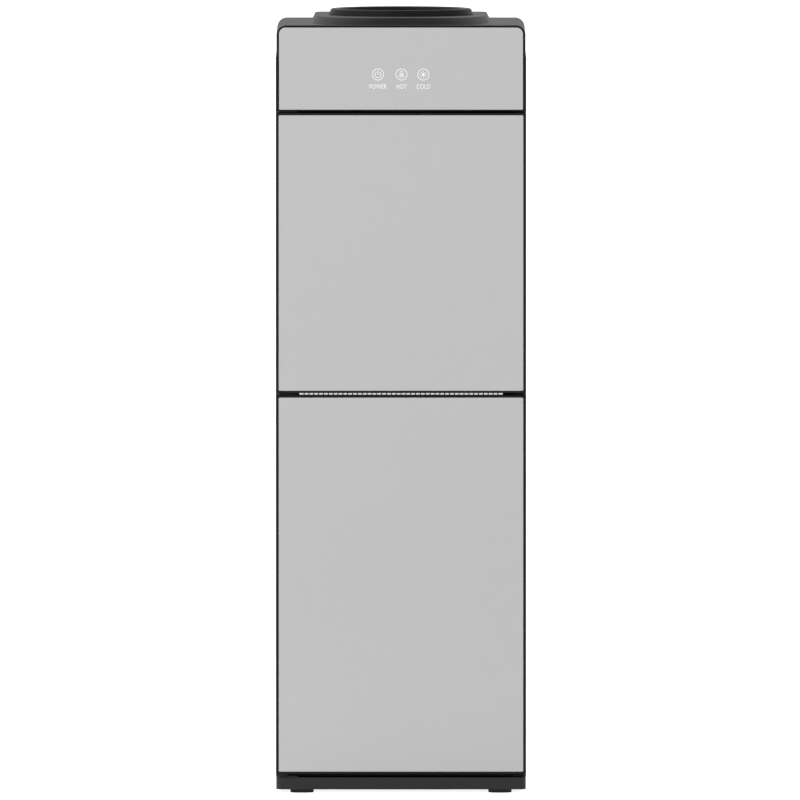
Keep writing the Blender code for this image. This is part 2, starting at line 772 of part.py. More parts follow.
def feet():
    pad = FOOT_HEIGHT - GAP
    profile = (
        (0, FOOT_STEM_TOP),
        (FOOT_STEM_RADIUS, FOOT_STEM_TOP),
        (FOOT_STEM_RADIUS, pad),
        (FOOT_RADIUS, pad),
        (FOOT_RADIUS, FOOT_EDGE),
        (FOOT_RADIUS - FOOT_EDGE, 0),
        (0, 0),
    )
    for name, (x, y) in FOOT_PLACES.items():
        finish(turned(name, profile, x, y, FOOT_SIDES), (0.02, 0.02, 0.02), 0.8)


def side_panels():
    wall = HALF - SHEET / 2
    front = BODY_FRONT + SHEET / 2
    back = BODY_BACK - SHEET / 2
    path = ((FLANGE_EDGE, front), (wall, front), (wall, back), (HALF - SIDE_REAR_FLANGE, back))
    for name, side in (("side_panel_left", -1), ("side_panel_right", 1)):
        sided = [(side * x, y) for x, y in path]
        painted_steel(folded(name, sided, PLINTH_TOP + GAP, SIDE_TOP))


def rails():
    half = HALF - SHEET - BEND
    face = RAIL_FRONT + SHEET / 2
    mid = ((face, RAIL_TOP), (face, RAIL_BOTTOM + SHEET / 2), (face + RAIL_LEG, RAIL_BOTTOM + SHEET / 2))
    painted_steel(folded("mid_rail", mid, -half, half, "YZ"))
    foot = HEAD_BOTTOM + SHEET / 2
    top = ((face, foot + TOP_RAIL_HEIGHT), (face, foot), (face + RAIL_LEG, foot))
    painted_steel(folded("top_rail", top, -half, half, "YZ"))


def rear_panel():
    half = HALF - SHEET - GAP
    face = REAR_PANEL_FRONT + SHEET / 2
    lid = SIDE_TOP - SHEET / 2
    path = ((face, REAR_PANEL_BOTTOM), (face, lid), (BACK - COVER_BACK_EDGE, lid))
    panel = folded("rear_panel", path, -half, half, "YZ")
    for row in range(REAR_LOUVRE_ROWS):
        z = REAR_LOUVRE_BOTTOM + row * REAR_LOUVRE_PITCH
        for side in (-1, 1):
            x = side * REAR_LOUVRE_SPREAD
            low = (x - REAR_LOUVRE_WIDTH / 2, REAR_PANEL_FRONT - OVERRUN, z)
            high = (x + REAR_LOUVRE_WIDTH / 2, REAR_PANEL_BACK + OVERRUN, z + REAR_LOUVRE_HEIGHT)
            cut(panel, block("louvre", low, high))
    through = (REAR_PANEL_FRONT - OVERRUN, REAR_PANEL_BACK + OVERRUN)
    for x, radius in ((HOT_TANK_X, DRAIN_SPOUT), (GLAND_X, GLAND_BODY)):
        ends = [(x, y, OUTLET_Z) for y in through]
        cut(panel, rod("outlet", radius + GAP, *ends))
    half_x, half_z = bezel_half()
    low = (SWITCH_X - half_x + BEZEL_BORDER - GAP, through[0], SWITCH_Z - half_z + BEZEL_BORDER - GAP)
    high = (SWITCH_X + half_x - BEZEL_BORDER + GAP, through[1], SWITCH_Z + half_z - BEZEL_BORDER + GAP)
    cut(panel, block("bezel_window", low, high))
    painted_steel(panel)


# Liners, shelf, tray and grille


def niche_liner():
    upper_low = (-LINER_HALF, BODY_FRONT, RAIL_TOP + 2 * GAP)
    liner = block("niche_liner", upper_low, (LINER_HALF, NICHE_REAR, NICHE_TOP))
    wall = RAIL_FRONT + SHEET + GAP
    well = block(
        "niche_well",
        (-LINER_HALF, wall, NICHE_FLOOR - MOULDED),
        (LINER_HALF, NICHE_REAR, RAIL_TOP + MOULDED),
    )
    room = rounded_rectangle(
        (-LINER_HALF + MOULDED, wall + MOULDED),
        (LINER_HALF - MOULDED, NICHE_BACK),
        (0, 0, NICHE_CORNER, NICHE_CORNER),
    )
    mouth_low = (-LINER_HALF + MOULDED, BODY_FRONT - OVERRUN, RAIL_TOP)
    mouth_high = (LINER_HALF - MOULDED, wall + 2 * MOULDED, NICHE_TOP - MOULDED)
    join(liner, well)
    cut(liner, extruded("niche_room", room, NICHE_FLOOR, NICHE_TOP - MOULDED))
    cut(liner, block("niche_mouth", mouth_low, mouth_high))
    for side in (-1, 1):
        ends = [(side * TAP_SPREAD, y, TAP_Z) for y in (NICHE_BACK - OVERRUN, NICHE_REAR + OVERRUN)]
        cut(liner, rod("tap_hole", TAP_TAIL + GAP, *ends, PIN_SIDES))
    dark_plastic(liner)


def tray_and_grille():
    tray_lift = pivot_empty("drip_tray_lift", (0, NICHE_BACK, NICHE_FLOOR))
    grille_lift = pivot_empty("drip_grille_lift", (0, NICHE_BACK, GRILLE_BOTTOM))
    rim_half = LINER_HALF - MOULDED - TRAY_SIDE
    basin_half = rim_half - TRAY_BASIN_SIDE
    front = RAIL_FRONT + SHEET + 2 * GAP + MOULDED
    back = NICHE_BACK - TRAY_SIDE
    floor = NICHE_FLOOR + GAP
    corners = (0, 0, NICHE_CORNER, NICHE_CORNER)
    rim = rounded_rectangle((-rim_half, RAIL_FRONT), (rim_half, back), corners)
    outer = rounded_rectangle((-basin_half, front), (basin_half, back), TRAY_CORNER)
    inner = rounded_rectangle(
        (-basin_half + TRAY_WALL, front + TRAY_WALL),
        (basin_half - TRAY_WALL, back - TRAY_WALL),
        max(TRAY_CORNER - TRAY_WALL, GAP),
    )
    tray = extruded("drip_tray", rim, TRAY_TOP - TRAY_RIM, TRAY_TOP)
    join(tray, extruded("basin", outer, floor, TRAY_TOP - TRAY_RIM / 2))
    cut(tray, extruded("basin_hollow", inner, floor + TRAY_WALL, TRAY_TOP + OVERRUN))
    dark_plastic(tray, tray_lift)

    lip_front = BODY_FRONT - GAP - GRILLE_SHEET
    plate = rounded_rectangle(
        (-GRILLE_HALF, lip_front),
        (GRILLE_HALF, back - GRILLE_REAR_GAP),
        (0, 0, GRILLE_CORNER, GRILLE_CORNER),
    )
    grille = extruded("drip_grille", plate, GRILLE_BOTTOM, GRILLE_TOP)
    lip_low = (-GRILLE_HALF, lip_front, GRILLE_TOP - GRILLE_LIP)
    lip_high = (GRILLE_HALF, lip_front + GRILLE_SHEET, GRILLE_TOP - GRILLE_SHEET / 2)
    join(grille, block("grille_lip", lip_low, lip_high))
    first = -(GRILLE_SLOTS - 1) / 2 * GRILLE_PITCH
    slot = block(
        "grille_slots",
        (first - GRILLE_SLOT / 2, lip_front - OVERRUN, GRILLE_TOP - GRILLE_LIP + GRILLE_LIP_FOOT),
        (first + GRILLE_SLOT / 2, back - GRILLE_REAR_GAP - GRILLE_SLOT_REAR, GRILLE_TOP + OVERRUN),
    )
    cut(grille, repeated(slot, GRILLE_SLOTS, GRILLE_PITCH))
    bare_steel(grille, grille_lift)


def storage():
    floor = PLINTH_TOP + GAP
    ceiling = RAIL_BOTTOM - GAP
    back = STORE_BACK
    corners = (0, 0, STORE_CORNER, STORE_CORNER)
    outer = rounded_rectangle((-LINER_HALF, BODY_FRONT), (LINER_HALF, back), corners)
    inner = rounded_rectangle(
        (-LINER_HALF + MOULDED, BODY_FRONT - OVERRUN),
        (LINER_HALF - MOULDED, back - MOULDED),
        (0, 0, STORE_CORNER - MOULDED, STORE_CORNER - MOULDED),
    )
    liner = extruded("storage_liner", outer, floor, ceiling)
    cut(liner, extruded("storage_room", inner, floor + MOULDED, ceiling - MOULDED))
    ledge_top = floor + MOULDED + SHELF_HEIGHT
    for side in (-1, 1):
        wall = side * (LINER_HALF - MOULDED / 2)
        inside = side * (LINER_HALF - 2 * MOULDED - STORE_CORNER / 2)
        low = (min(wall, inside), BODY_FRONT + SHELF_SETBACK, ledge_top - MOULDED)
        high = (max(wall, inside), back - STORE_CORNER, ledge_top)
        join(liner, block("ledge", low, high))
    dark_plastic(liner)

    half = LINER_HALF - MOULDED - TRAY_SIDE
    front = BODY_FRONT + SHELF_SETBACK
    bottom = ledge_top + GAP
    rear = back - MOULDED - TRAY_SIDE
    plan = rounded_rectangle((-half, front), (half, rear), corners)
    shelf = extruded("storage_shelf", plan, bottom, bottom + SHELF_THICKNESS)
    lip_low = (-half, front, bottom + SHELF_THICKNESS / 2)
    lip_high = (half, front + SHELF_THICKNESS, bottom + SHELF_THICKNESS + SHELF_LIP)
    join(shelf, block("shelf_lip", lip_low, lip_high))
    grey_glass(shelf)


# Doors and hinges


def door(name, bottom, top):
    pivot = pivot_empty(f"{name}_door_hinge", (HINGE_X, HINGE_Y, bottom))
    outline = rounded_rectangle((-HALF, FRONT), (HALF, DOOR_BACK), DOOR_EDGE, 3)
    frame = extruded(f"{name}_door_frame", outline, bottom, top)
    glass_low = (-HALF + DOOR_SIDE_BORDER, bottom + DOOR_END_BORDER)
    glass_high = (HALF - DOOR_SIDE_BORDER, top - DOOR_END_BORDER)
    pocket = rounded_rectangle(glass_low, glass_high, GLASS_CORNER + GAP, 2)
    cut(frame, extruded("glass_pocket", pocket, FRONT - OVERRUN, FRONT + DOOR_GLASS + GAP, "XZ"))
    left, right = -HALF + HINGE_STILE, HALF - GRIP_STILE
    low, high = bottom + DOOR_RAIL, top - DOOR_RAIL
    cut(frame, block("door_window", (left, FRONT, low), (right, DOOR_BACK + OVERRUN, high)))
    seat = DOOR_BACK - DOOR_PANEL - GAP
    panel_low = (left - DOOR_LEDGE, low - DOOR_LEDGE)
    panel_high = (right + DOOR_LEDGE, high + DOOR_LEDGE)
    recess = rounded_rectangle(panel_low, panel_high, DOOR_EDGE, 3)
    cut(frame, extruded("panel_recess", recess, seat, DOOR_BACK + OVERRUN, "XZ"))
    middle = (bottom + top) / 2
    grip = rounded_rectangle(
        (HALF - GRIP_DEPTH, middle - GRIP_LENGTH / 2),
        (HALF + GRIP_DEPTH, middle + GRIP_LENGTH / 2),
        GRIP_CORNER,
    )
    cut(frame, extruded("grip", grip, DOOR_BACK - GRIP_HEIGHT, DOOR_BACK + OVERRUN, "XZ"))
    hole = HINGE_PIN + RUNNING
    deep = HINGE_PIN_LENGTH + GAP
    for start, end in ((bottom - OVERRUN, bottom + deep), (top + OVERRUN, top - deep)):
        cut(frame, rod("hinge_hole", hole, (HINGE_X, HINGE_Y, start), (HINGE_X, HINGE_Y, end)))
    magnet_high = Vector((HALF - MAGNET_EDGE, BODY_FRONT - GAP, top - MAGNET_DROP))
    magnet_low = magnet_high - Vector((MAGNET_WIDTH, MAGNET_DEPTH, MAGNET_LENGTH))
    room_low = magnet_low - Vector((GAP, GAP, GAP))
    room_high = magnet_high + Vector((GAP, OVERRUN, GAP))
    cut(frame, block("magnet_room", room_low, room_high))
    black_plastic(frame, pivot)

    glass_outline = rounded_rectangle(
        (glass_low[0] + GAP, glass_low[1] + GAP),
        (glass_high[0] - GAP, glass_high[1] - GAP),
        GLASS_CORNER,
        2,
    )
    glass = extruded(f"{name}_door_glass", glass_outline, FRONT, FRONT + DOOR_GLASS, "XZ")
    grey_glass(glass, pivot)

    back_outline = rounded_rectangle(
        (panel_low[0] + GAP, panel_low[1] + GAP),
        (panel_high[0] - GAP, panel_high[1] - GAP),
        DOOR_EDGE,
        3,
    )
    back = extruded(f"{name}_door_back", back_outline, seat + GAP, DOOR_BACK, "XZ")
    field = rounded_rectangle(
        (left + DOOR_PANEL_MARGIN, low + DOOR_PANEL_MARGIN),
        (right - DOOR_PANEL_MARGIN, high - DOOR_PANEL_MARGIN),
        STORE_CORNER,
    )
    cut(back, extruded("field", field, DOOR_BACK - DOOR_PANEL_FIELD, DOOR_BACK + OVERRUN, "XZ"))
    dark_plastic(back, pivot)
    magnet = block(f"{name}_door_magnet", magnet_low, magnet_high)
    finish(magnet, (0.05, 0.05, 0.05), 0.6, 0, pivot)


def hinge_plate(name, bottom):
    """Flat leaf from beyond the pin to the fixing end on its right."""
    low = (HINGE_X - HINGE_PLATE_HALF, HINGE_Y - HINGE_PLATE_HALF)
    high = (HINGE_X + HINGE_REACH, HINGE_Y + HINGE_PLATE_HALF)
    radii = (HINGE_PLATE_HALF - GAP, GAP, GAP, HINGE_PLATE_HALF - GAP)
    outline = rounded_rectangle(low, high, radii)
    return extruded(name, outline, bottom, bottom + HINGE_PLATE)


def hinge_pin(low, high):
    return rod("pin", HINGE_PIN, (HINGE_X, HINGE_Y, low), (HINGE_X, HINGE_Y, high), PIN_SIDES)


def hinges():
    leg_right = HINGE_X + HINGE_REACH
    leg_left = leg_right - HINGE_LEG
    forward = HINGE_Y + HINGE_PLATE_HALF - HINGE_PLATE

    bottom = PLINTH_TOP + GAP
    lower = hinge_plate("hinge_bottom", bottom)
    block_low = (HINGE_X - HINGE_PLATE_HALF + GAP, HINGE_Y - HINGE_BLOCK_HALF, bottom + HINGE_PLATE / 2)
    block_high = (HINGE_X + HINGE_BLOCK_HALF, HINGE_Y + HINGE_BLOCK_HALF, LOWER_BOTTOM - GAP)
    join(lower, block("hinge_block", block_low, block_high))
    join(lower, hinge_pin(bottom + HINGE_PLATE / 2, LOWER_BOTTOM + HINGE_PIN_LENGTH))
    painted_steel(lower)

    middle = hinge_plate("hinge_middle", MID_PLATE_BOTTOM)
    arm_low = (leg_left, forward, MID_PLATE_BOTTOM)
    arm_high = (leg_right, RAIL_FRONT - GAP, MID_PLATE_BOTTOM + HINGE_PLATE)
    leg_low = (leg_left, RAIL_FRONT - GAP - HINGE_PLATE, RAIL_TOP - HINGE_LEG_DROP)
    join(middle, block("hinge_arm", arm_low, arm_high))
    join(middle, block("hinge_leg", leg_low, arm_high))
    join(middle, hinge_pin(LOWER_TOP - HINGE_PIN_LENGTH, UPPER_BOTTOM + HINGE_PIN_LENGTH))
    painted_steel(middle)

    plate = HEAD_BOTTOM - GAP - HINGE_PLATE
    upper = hinge_plate("hinge_top", plate)
    tail_low = (leg_left, forward, plate)
    tail_high = (leg_right, RAIL_FRONT + HINGE_TAIL, plate + HINGE_PLATE)
    join(upper, block("hinge_tail", tail_low, tail_high))
    join(upper, hinge_pin(UPPER_TOP - HINGE_PIN_LENGTH, plate + HINGE_PLATE / 2))
    painted_steel(upper)


# Head: top cover, fascia and indicator board

COVER_HALF = HALF - COVER_INSET
GLASS_HALF = COVER_HALF - COVER_WALL - GAP
GLASS_TOP = TOP - COVER_WALL - GAP
LAMP_Z = HEAD_BOTTOM + LAMP_RISE


def platform_ring(inset, z):
    """Outline of the platform, wider by its draft below the top and pulled in by the inset."""
    share = (PLATFORM_TOP - z) / PLATFORM_HEIGHT
    half = PLATFORM_HALF + PLATFORM_SIDE_DRAFT * share - inset
    front = -FRONT - PLATFORM_FRONT_SETBACK + PLATFORM_FRONT_DRAFT * share - inset
    rear = BACK - PLATFORM_REAR_SETBACK + PLATFORM_SIDE_DRAFT * share - inset
    corner = PLATFORM_CORNER - inset
    power = 2 / PLATFORM_SQUARENESS
    ring = []
    for step in range(PLATFORM_STEPS + 1):
        angle = step / PLATFORM_STEPS * math.pi
        across, along = math.cos(angle), math.sin(angle)
        x = -half * math.copysign(abs(across) ** power, across)
        ring.append((x, -front * along**power, z))
    rear_corners = rounded_rectangle((-half, 0), (half, rear), (0, 0, corner, corner))[2:]
    return ring + [(x, y, z) for x, y in rear_corners]


def cover_ring(inset, y):
    """Front view of the cover at a depth: a rectangle with its two top corners rounded."""
    radius = COVER_CORNER - inset
    low = (-COVER_HALF + inset, TOP - COVER_SKIRT + min(inset, GAP))
    high = (COVER_HALF - inset, TOP - inset)
    outline = rounded_rectangle(low, high, (0, 0, radius, radius), COVER_STEPS)
    return [(x, y, z) for x, z in outline]


def top_cover():
    nose = FRONT + COVER_NOSE
    cover = lofted(
        "top_cover",
        [
            cover_ring(COVER_CHAMFER, nose),
            cover_ring(0, nose + COVER_CHAMFER),
            cover_ring(0, BACK - COVER_BACK_EDGE),
            cover_ring(COVER_BACK_EDGE / 3, BACK),
        ],
    )
    platform = lofted(
        "platform",
        [platform_ring(0, TOP - COVER_WALL / 2), platform_ring(0, PLATFORM_TOP)],
    )
    inner = rounded_rectangle(
        (-COVER_HALF + COVER_WALL, TOP - COVER_SKIRT - OVERRUN),
        (COVER_HALF - COVER_WALL, TOP - COVER_WALL),
        (0, 0, COVER_CORNER - COVER_WALL, COVER_CORNER - COVER_WALL),
        COVER_STEPS,
    )
    under = lofted(
        "platform_under",
        [
            platform_ring(COVER_WALL, TOP - COVER_SKIRT / 2),
            platform_ring(COVER_WALL, PLATFORM_TOP - COVER_WALL),
        ],
    )
    join(cover, platform)
    cut(cover, extruded("cover_room", inner, FRONT - OVERRUN, BACK - COVER_WALL, "XZ"))
    cut(cover, under)
    ends = ((0, 0, TOP), (0, 0, PLATFORM_TOP + OVERRUN))
    cut(cover, rod("seat_hole", SEAT_SPIGOT + GAP, *ends, SEAT_STEPS))
    dark_plastic(cover)


def fascia():
    rear = BODY_FRONT - GAP
    shoulder = COVER_CORNER - COVER_WALL - GAP
    bottom = HEAD_BOTTOM
    radii = (0, 0, shoulder, shoulder)
    core = rounded_rectangle((-GLASS_HALF, bottom), (GLASS_HALF, GLASS_TOP), radii, COVER_STEPS)
    frame = extruded("fascia_frame", core, FRONT, rear, "XZ")
    join(frame, block("fascia_ears", (-HALF, FRONT, bottom), (HALF, rear, SIDE_TOP)))
    pocket_low = (-GLASS_HALF - GAP, FRONT - OVERRUN, bottom + FASCIA_BOTTOM_BORDER)
    pocket_high = (GLASS_HALF + GAP, FRONT + FASCIA_GLASS + GAP, TOP)
    cut(frame, block("fascia_pocket", pocket_low, pocket_high))
    back_low = (-GLASS_HALF + FASCIA_WALL, FRONT + FASCIA_GLASS + FASCIA_WALL, bottom + FASCIA_WALL)
    back_high = (GLASS_HALF - FASCIA_WALL, rear + OVERRUN, GLASS_TOP - FASCIA_WALL)
    cut(frame, block("fascia_room", back_low, back_high))
    for x in LAMP_PLACES:
        ends = [(x, FRONT, LAMP_Z), (x, back_low[1] + OVERRUN, LAMP_Z)]
        cut(frame, rod("lamp_hole", LAMP_RADIUS + GAP, *ends))
    black_plastic(frame)

    low = (-GLASS_HALF, bottom + FASCIA_BOTTOM_BORDER + GAP)
    radii = (GAP, GAP, shoulder, shoulder)
    outline = rounded_rectangle(low, (GLASS_HALF, GLASS_TOP), radii, COVER_STEPS)
    grey_glass(extruded("fascia_glass", outline, FRONT, FRONT + FASCIA_GLASS, "XZ"))

    face = FRONT + FASCIA_GLASS + FASCIA_WALL + BOARD_BEHIND
    board_low = (-BOARD_HALF, face, LAMP_Z - BOARD_HALF_HEIGHT)
    board_high = (BOARD_HALF, face + BOARD_THICKNESS, LAMP_Z + BOARD_HALF_HEIGHT)
    board = block("indicator_board", board_low, board_high)
    for x in LAMP_PLACES:
        ends = [(x, FRONT + FASCIA_GLASS + GAP, LAMP_Z), (x, face + BOARD_THICKNESS / 2, LAMP_Z)]
        join(board, rod("lamp", LAMP_RADIUS, *ends, PIN_SIDES))
    for side in (-1, 1):
        x = side * (BOARD_HALF - MOULDED)
        post_low = (x - MOULDED, face - BOARD_BEHIND + GAP, LAMP_Z - MOULDED)
        post_high = (x + MOULDED, face + BOARD_THICKNESS / 2, LAMP_Z + MOULDED)
        join(board, block("board_post", post_low, post_high))
    finish(board, (0.05, 0.25, 0.12), 0.5)


# Bottle seat and probe

CONE_TOP = PLATFORM_TOP - CONE_MOUTH_DROP
CONE_BOTTOM = CONE_TOP - CONE_HEIGHT
NECK_OUTER = NECK_INNER + SEAT_WALL
LEDGE_TOP = NECK_END + NECK_LEDGE_HEIGHT


def bottle_seat():
    lift = pivot_empty("bottle_seat_lift", (0, 0, PLATFORM_TOP))
    foot = PLATFORM_TOP + GAP
    under = PLATFORM_TOP - COVER_WALL
    crown = COLLAR_TOP_RADIUS - COLLAR_LIP
    profile = [
        (crown, RIM),
        (COLLAR_TOP_RADIUS - COLLAR_LIP / 3, RIM - COLLAR_LIP / 4),
        (COLLAR_TOP_RADIUS, RIM - COLLAR_LIP),
        (COLLAR_RADIUS, foot),
        (SEAT_SPIGOT, foot),
        (SEAT_SPIGOT, under),
        (COLLAR_INNER, CONE_TOP - SEAT_WALL),
        (NECK_OUTER, CONE_BOTTOM - SEAT_WALL),
        (NECK_OUTER, NECK_END),
        (NECK_INNER - NECK_LEDGE, NECK_END),
        (NECK_INNER - NECK_LEDGE, LEDGE_TOP),
        (NECK_INNER, LEDGE_TOP),
        (NECK_INNER, CONE_BOTTOM),
        (COLLAR_INNER - SEAT_WALL, CONE_TOP),
        (COLLAR_INNER, RIM - COLLAR_LIP),
        (crown - COLLAR_BAND, RIM),
    ]
    seat = turned("bottle_seat", profile, steps=SEAT_STEPS, closed=True)
    slope_top = (COLLAR_INNER - SEAT_WALL - SEAT_WALL / 2, CONE_TOP)
    slope_bottom = (NECK_INNER + SEAT_WALL, CONE_BOTTOM)
    for index in range(SEAT_RIBS):
        angle = (index + 1 / 2) / SEAT_RIBS * math.tau
        outline = [
            (slope_bottom[0], slope_bottom[1]),
            (slope_top[0] + SEAT_WALL, slope_top[1]),
            (slope_top[0] + SEAT_WALL, slope_top[1] + SEAT_RIB_DEPTH),
            (slope_top[0] - SEAT_RIB_DEPTH, slope_top[1] + SEAT_RIB_DEPTH),
            (slope_bottom[0], slope_bottom[1] + SEAT_RIB_DEPTH),
        ]
        rib = extruded("seat_rib", outline, -SEAT_RIB / 2, SEAT_RIB / 2, "XZ")
        rib.matrix_world = Matrix.Rotation(angle, 4, "Z") @ rib.matrix_world
        join(seat, rib)
    dark_plastic(seat, lift)

    ring_low = LEDGE_TOP + GAP
    ring_high = ring_low + PROBE_RING_HEIGHT
    outer = NECK_INNER - GAP
    tip = ring_low + PROBE_HEIGHT
    stem = [
        (0, tip),
        (PROBE_RADIUS / 3, tip - PROBE_TIP / 8),
        (PROBE_RADIUS, tip - PROBE_TIP),
        (PROBE_RADIUS, ring_low),
        (0, ring_low),
    ]
    probe = turned("water_probe", stem)
    ring = [
        (outer, ring_high),
        (outer, ring_low),
        (outer - PROBE_RING, ring_low),
        (outer - PROBE_RING, ring_high),
    ]
    join(probe, turned("probe_ring", ring, closed=True))
    for index in range(PROBE_SPOKES):
        angle = index / PROBE_SPOKES * math.tau
        reach = outer - PROBE_RING / 2
        low = (PROBE_RADIUS / 2, -PROBE_SPOKE / 2, ring_low + GAP)
        spoke = block("probe_spoke", low, (reach, PROBE_SPOKE / 2, ring_high - GAP))
        spoke.matrix_world = Matrix.Rotation(angle, 4, "Z") @ Matrix.Translation(spoke.location)
        join(probe, spoke)
    pale_plastic(probe, lift)


# Tanks and their shelves

FEED_PLACE = (FEED_X, COLD_TANK_Y + COLD_TANK_RADIUS / 2)
SPIGOT_END = COLD_TANK_BOTTOM - SPIGOT_LENGTH
SPIGOT_HOLE = SPIGOT + 2 * GAP
COIL_LINE = COLD_TANK_RADIUS + COIL_SPACE / 2
COIL_BOTTOM = COLD_TANK_BOTTOM + 4 * COIL_RADIUS
COIL_TOP = COLD_TANK_TOP - 8 * COIL_RADIUS
COIL_START = math.radians(40)
COIL_END = COIL_START + math.radians(100)
COLD_SPIGOTS = ((0, COLD_TANK_Y), FEED_PLACE)


def cold_tank():
    radius, top, bottom = COLD_TANK_RADIUS, COLD_TANK_TOP, COLD_TANK_BOTTOM
    tank = rod("cold_tank", radius, (0, COLD_TANK_Y, bottom), (0, COLD_TANK_Y, top), TANK_SIDES)
    for x, y in COLD_SPIGOTS:
        ends = ((x, y, SPIGOT_END), (x, y, bottom + TANK_WALL / 2))
        join(tank, rod("spigot", SPIGOT, *ends, PIN_SIDES))
    room = ((0, COLD_TANK_Y, bottom + TANK_WALL), (0, COLD_TANK_Y, top - TANK_WALL))
    cut(tank, rod("tank_room", radius - TANK_WALL, *room, TANK_SIDES))
    mouth = ((0, 0, NECK_END - 2 * GAP), (0, 0, top + OVERRUN))
    cut(tank, rod("neck_hole", NECK_OUTER + 2 * GAP, *mouth, SEAT_STEPS))
    bare_steel(tank)

    inner, outer = COLD_JACKET_INNER, COLD_JACKET_RADIUS
    floor = COLD_TANK_BOTTOM - GAP
    profile = [
        (0, floor),
        (inner, floor),
        (inner, top - TANK_WALL),
        (outer, top - TANK_WALL),
        (outer, COLD_JACKET_BOTTOM),
        (0, COLD_JACKET_BOTTOM),
    ]
    jacket = turned("cold_tank_jacket", profile, 0, COLD_TANK_Y, TANK_SIDES)
    for x, y in COLD_SPIGOTS:
        ends = ((x, y, COLD_JACKET_BOTTOM - OVERRUN), (x, y, floor + OVERRUN))
        cut(jacket, rod("spigot_hole", SPIGOT_HOLE, *ends, PIN_SIDES))
    for angle, z in ((COIL_START, COIL_BOTTOM), (COIL_END, COIL_TOP)):
        ends = [coil_point(r, angle, z) for r in (inner - OVERRUN, outer + OVERRUN)]
        cut(jacket, rod("coil_hole", COIL_RADIUS + 2 * GAP, *ends, PIN_SIDES))
    foam(jacket)


def coil_point(radius, angle, z):
    return (radius * math.cos(angle), COLD_TANK_Y + radius * math.sin(angle), z)


def evaporator():
    sweep = COIL_END - COIL_START + (COIL_TURNS - 1) * math.tau
    steps = COIL_TURNS * COIL_STEPS
    points = [coil_point(COLD_JACKET_RADIUS + COIL_TAIL, COIL_START, COIL_BOTTOM)]
    for step in range(steps + 1):
        t = step / steps
        z = COIL_BOTTOM + t * (COIL_TOP - COIL_BOTTOM)
        points.append(coil_point(COIL_LINE, COIL_START + sweep * t, z))
    points.append(coil_point(COLD_JACKET_RADIUS + COIL_TAIL, COIL_END, COIL_TOP))
    pitch = (COIL_TOP - COIL_BOTTOM) / (sweep / math.tau)
    print(f"evaporator coil: {1000 * (pitch - 2 * COIL_RADIUS):.2f} mm between turns")
    pipe_copper(tube("evaporator_coil", points, COIL_RADIUS))


def hot_tank():
    x, y = HOT_TANK_X, HOT_TANK_Y
    top, bottom, radius = HOT_TANK_TOP, HOT_TANK_BOTTOM, HOT_TANK_RADIUS
    profile = [
        (0, top),
        (radius - HOT_TANK_EDGE, top),
        (radius, top - HOT_TANK_EDGE),
        (radius, bottom + HOT_TANK_EDGE),
        (radius - HOT_TANK_EDGE, bottom),
        (0, bottom),
    ]
    tank = turned("hot_tank", profile, x, y, TANK_SIDES)
    side = x + HOT_JACKET_RADIUS + SPIGOT
    feed_z = bottom + 2 * HOT_TANK_EDGE
    join(tank, rod("spigot_up", SPIGOT, (x, y, top - TANK_WALL), (x, y, top + SPIGOT_LENGTH), PIN_SIDES))
    down = ((x, y, bottom - SPIGOT_LENGTH), (x, y, bottom + TANK_WALL))
    join(tank, rod("spigot_down", SPIGOT, *down, PIN_SIDES))
    feed = ((x + radius - TANK_WALL, y, feed_z), (side, y, feed_z))
    join(tank, rod("spigot_side", SPIGOT, *feed, PIN_SIDES))
    bare_steel(tank)

    band_low = bottom + HEATER_RISE
    band = [
        (radius + GAP + HEATER_THICKNESS, band_low + HEATER_HEIGHT),
        (radius + GAP + HEATER_THICKNESS, band_low),
        (radius + GAP, band_low),
        (radius + GAP, band_low + HEATER_HEIGHT),
    ]
    bare_steel(turned("heater_band", band, x, y, TANK_SIDES, True))

    inner, outer = HOT_JACKET_INNER, HOT_JACKET_RADIUS
    shell = [
        (0, HOT_JACKET_TOP),
        (outer, HOT_JACKET_TOP),
        (outer, HOT_JACKET_BOTTOM),
        (0, HOT_JACKET_BOTTOM),
    ]
    jacket = turned("hot_tank_jacket", shell, x, y, TANK_SIDES)
    room = ((x, y, bottom - GAP), (x, y, top + GAP))
    cut(jacket, rod("hot_room", inner, *room, TANK_SIDES))
    for low, high in ((HOT_JACKET_BOTTOM - OVERRUN, bottom + GAP), (top - GAP, HOT_JACKET_TOP + OVERRUN)):
        cut(jacket, rod("spigot_hole", SPIGOT_HOLE, (x, y, low), (x, y, high), PIN_SIDES))
    through = ((x + inner - OVERRUN, y, feed_z), (x + outer + OVERRUN, y, feed_z))
    cut(jacket, rod("feed_hole", SPIGOT_HOLE, *through, PIN_SIDES))
    foam(jacket)


def tank_shelf(name, top, front, holes):
    """Steel shelf between the side panels, turned down at both ends."""
    half = HALF - 3 / 2 * SHEET - GAP
    z = top - SHEET / 2
    path = ((-half, z - SHELF_TURN), (-half, z), (half, z), (half, z - SHELF_TURN))
    rear = BODY_BACK - SHEET - BEND
    shelf = folded(name, path, front, rear, "XZ")
    for x, y in holes:
        ends = ((x, y, top - SHEET - OVERRUN), (x, y, top + OVERRUN))
        cut(shelf, rod("shelf_hole", SPIGOT_HOLE, *ends, PIN_SIDES))
    painted_steel(shelf)


def tank_shelves():
    front = BARB_Y + HOSE_RADIUS + HOSE_BEND / 2
    pipes = ((SUCTION_X, COMPRESSOR_Y), (CAPILLARY_X, CAPILLARY_Y))
    tank_shelf("upper_tank_shelf", UPPER_SHELF_TOP, front, COLD_SPIGOTS + pipes)
    tank_shelf("lower_tank_shelf", LOWER_SHELF_TOP, front, ((HOT_TANK_X, HOT_TANK_Y),) + pipes)


# Taps and hoses


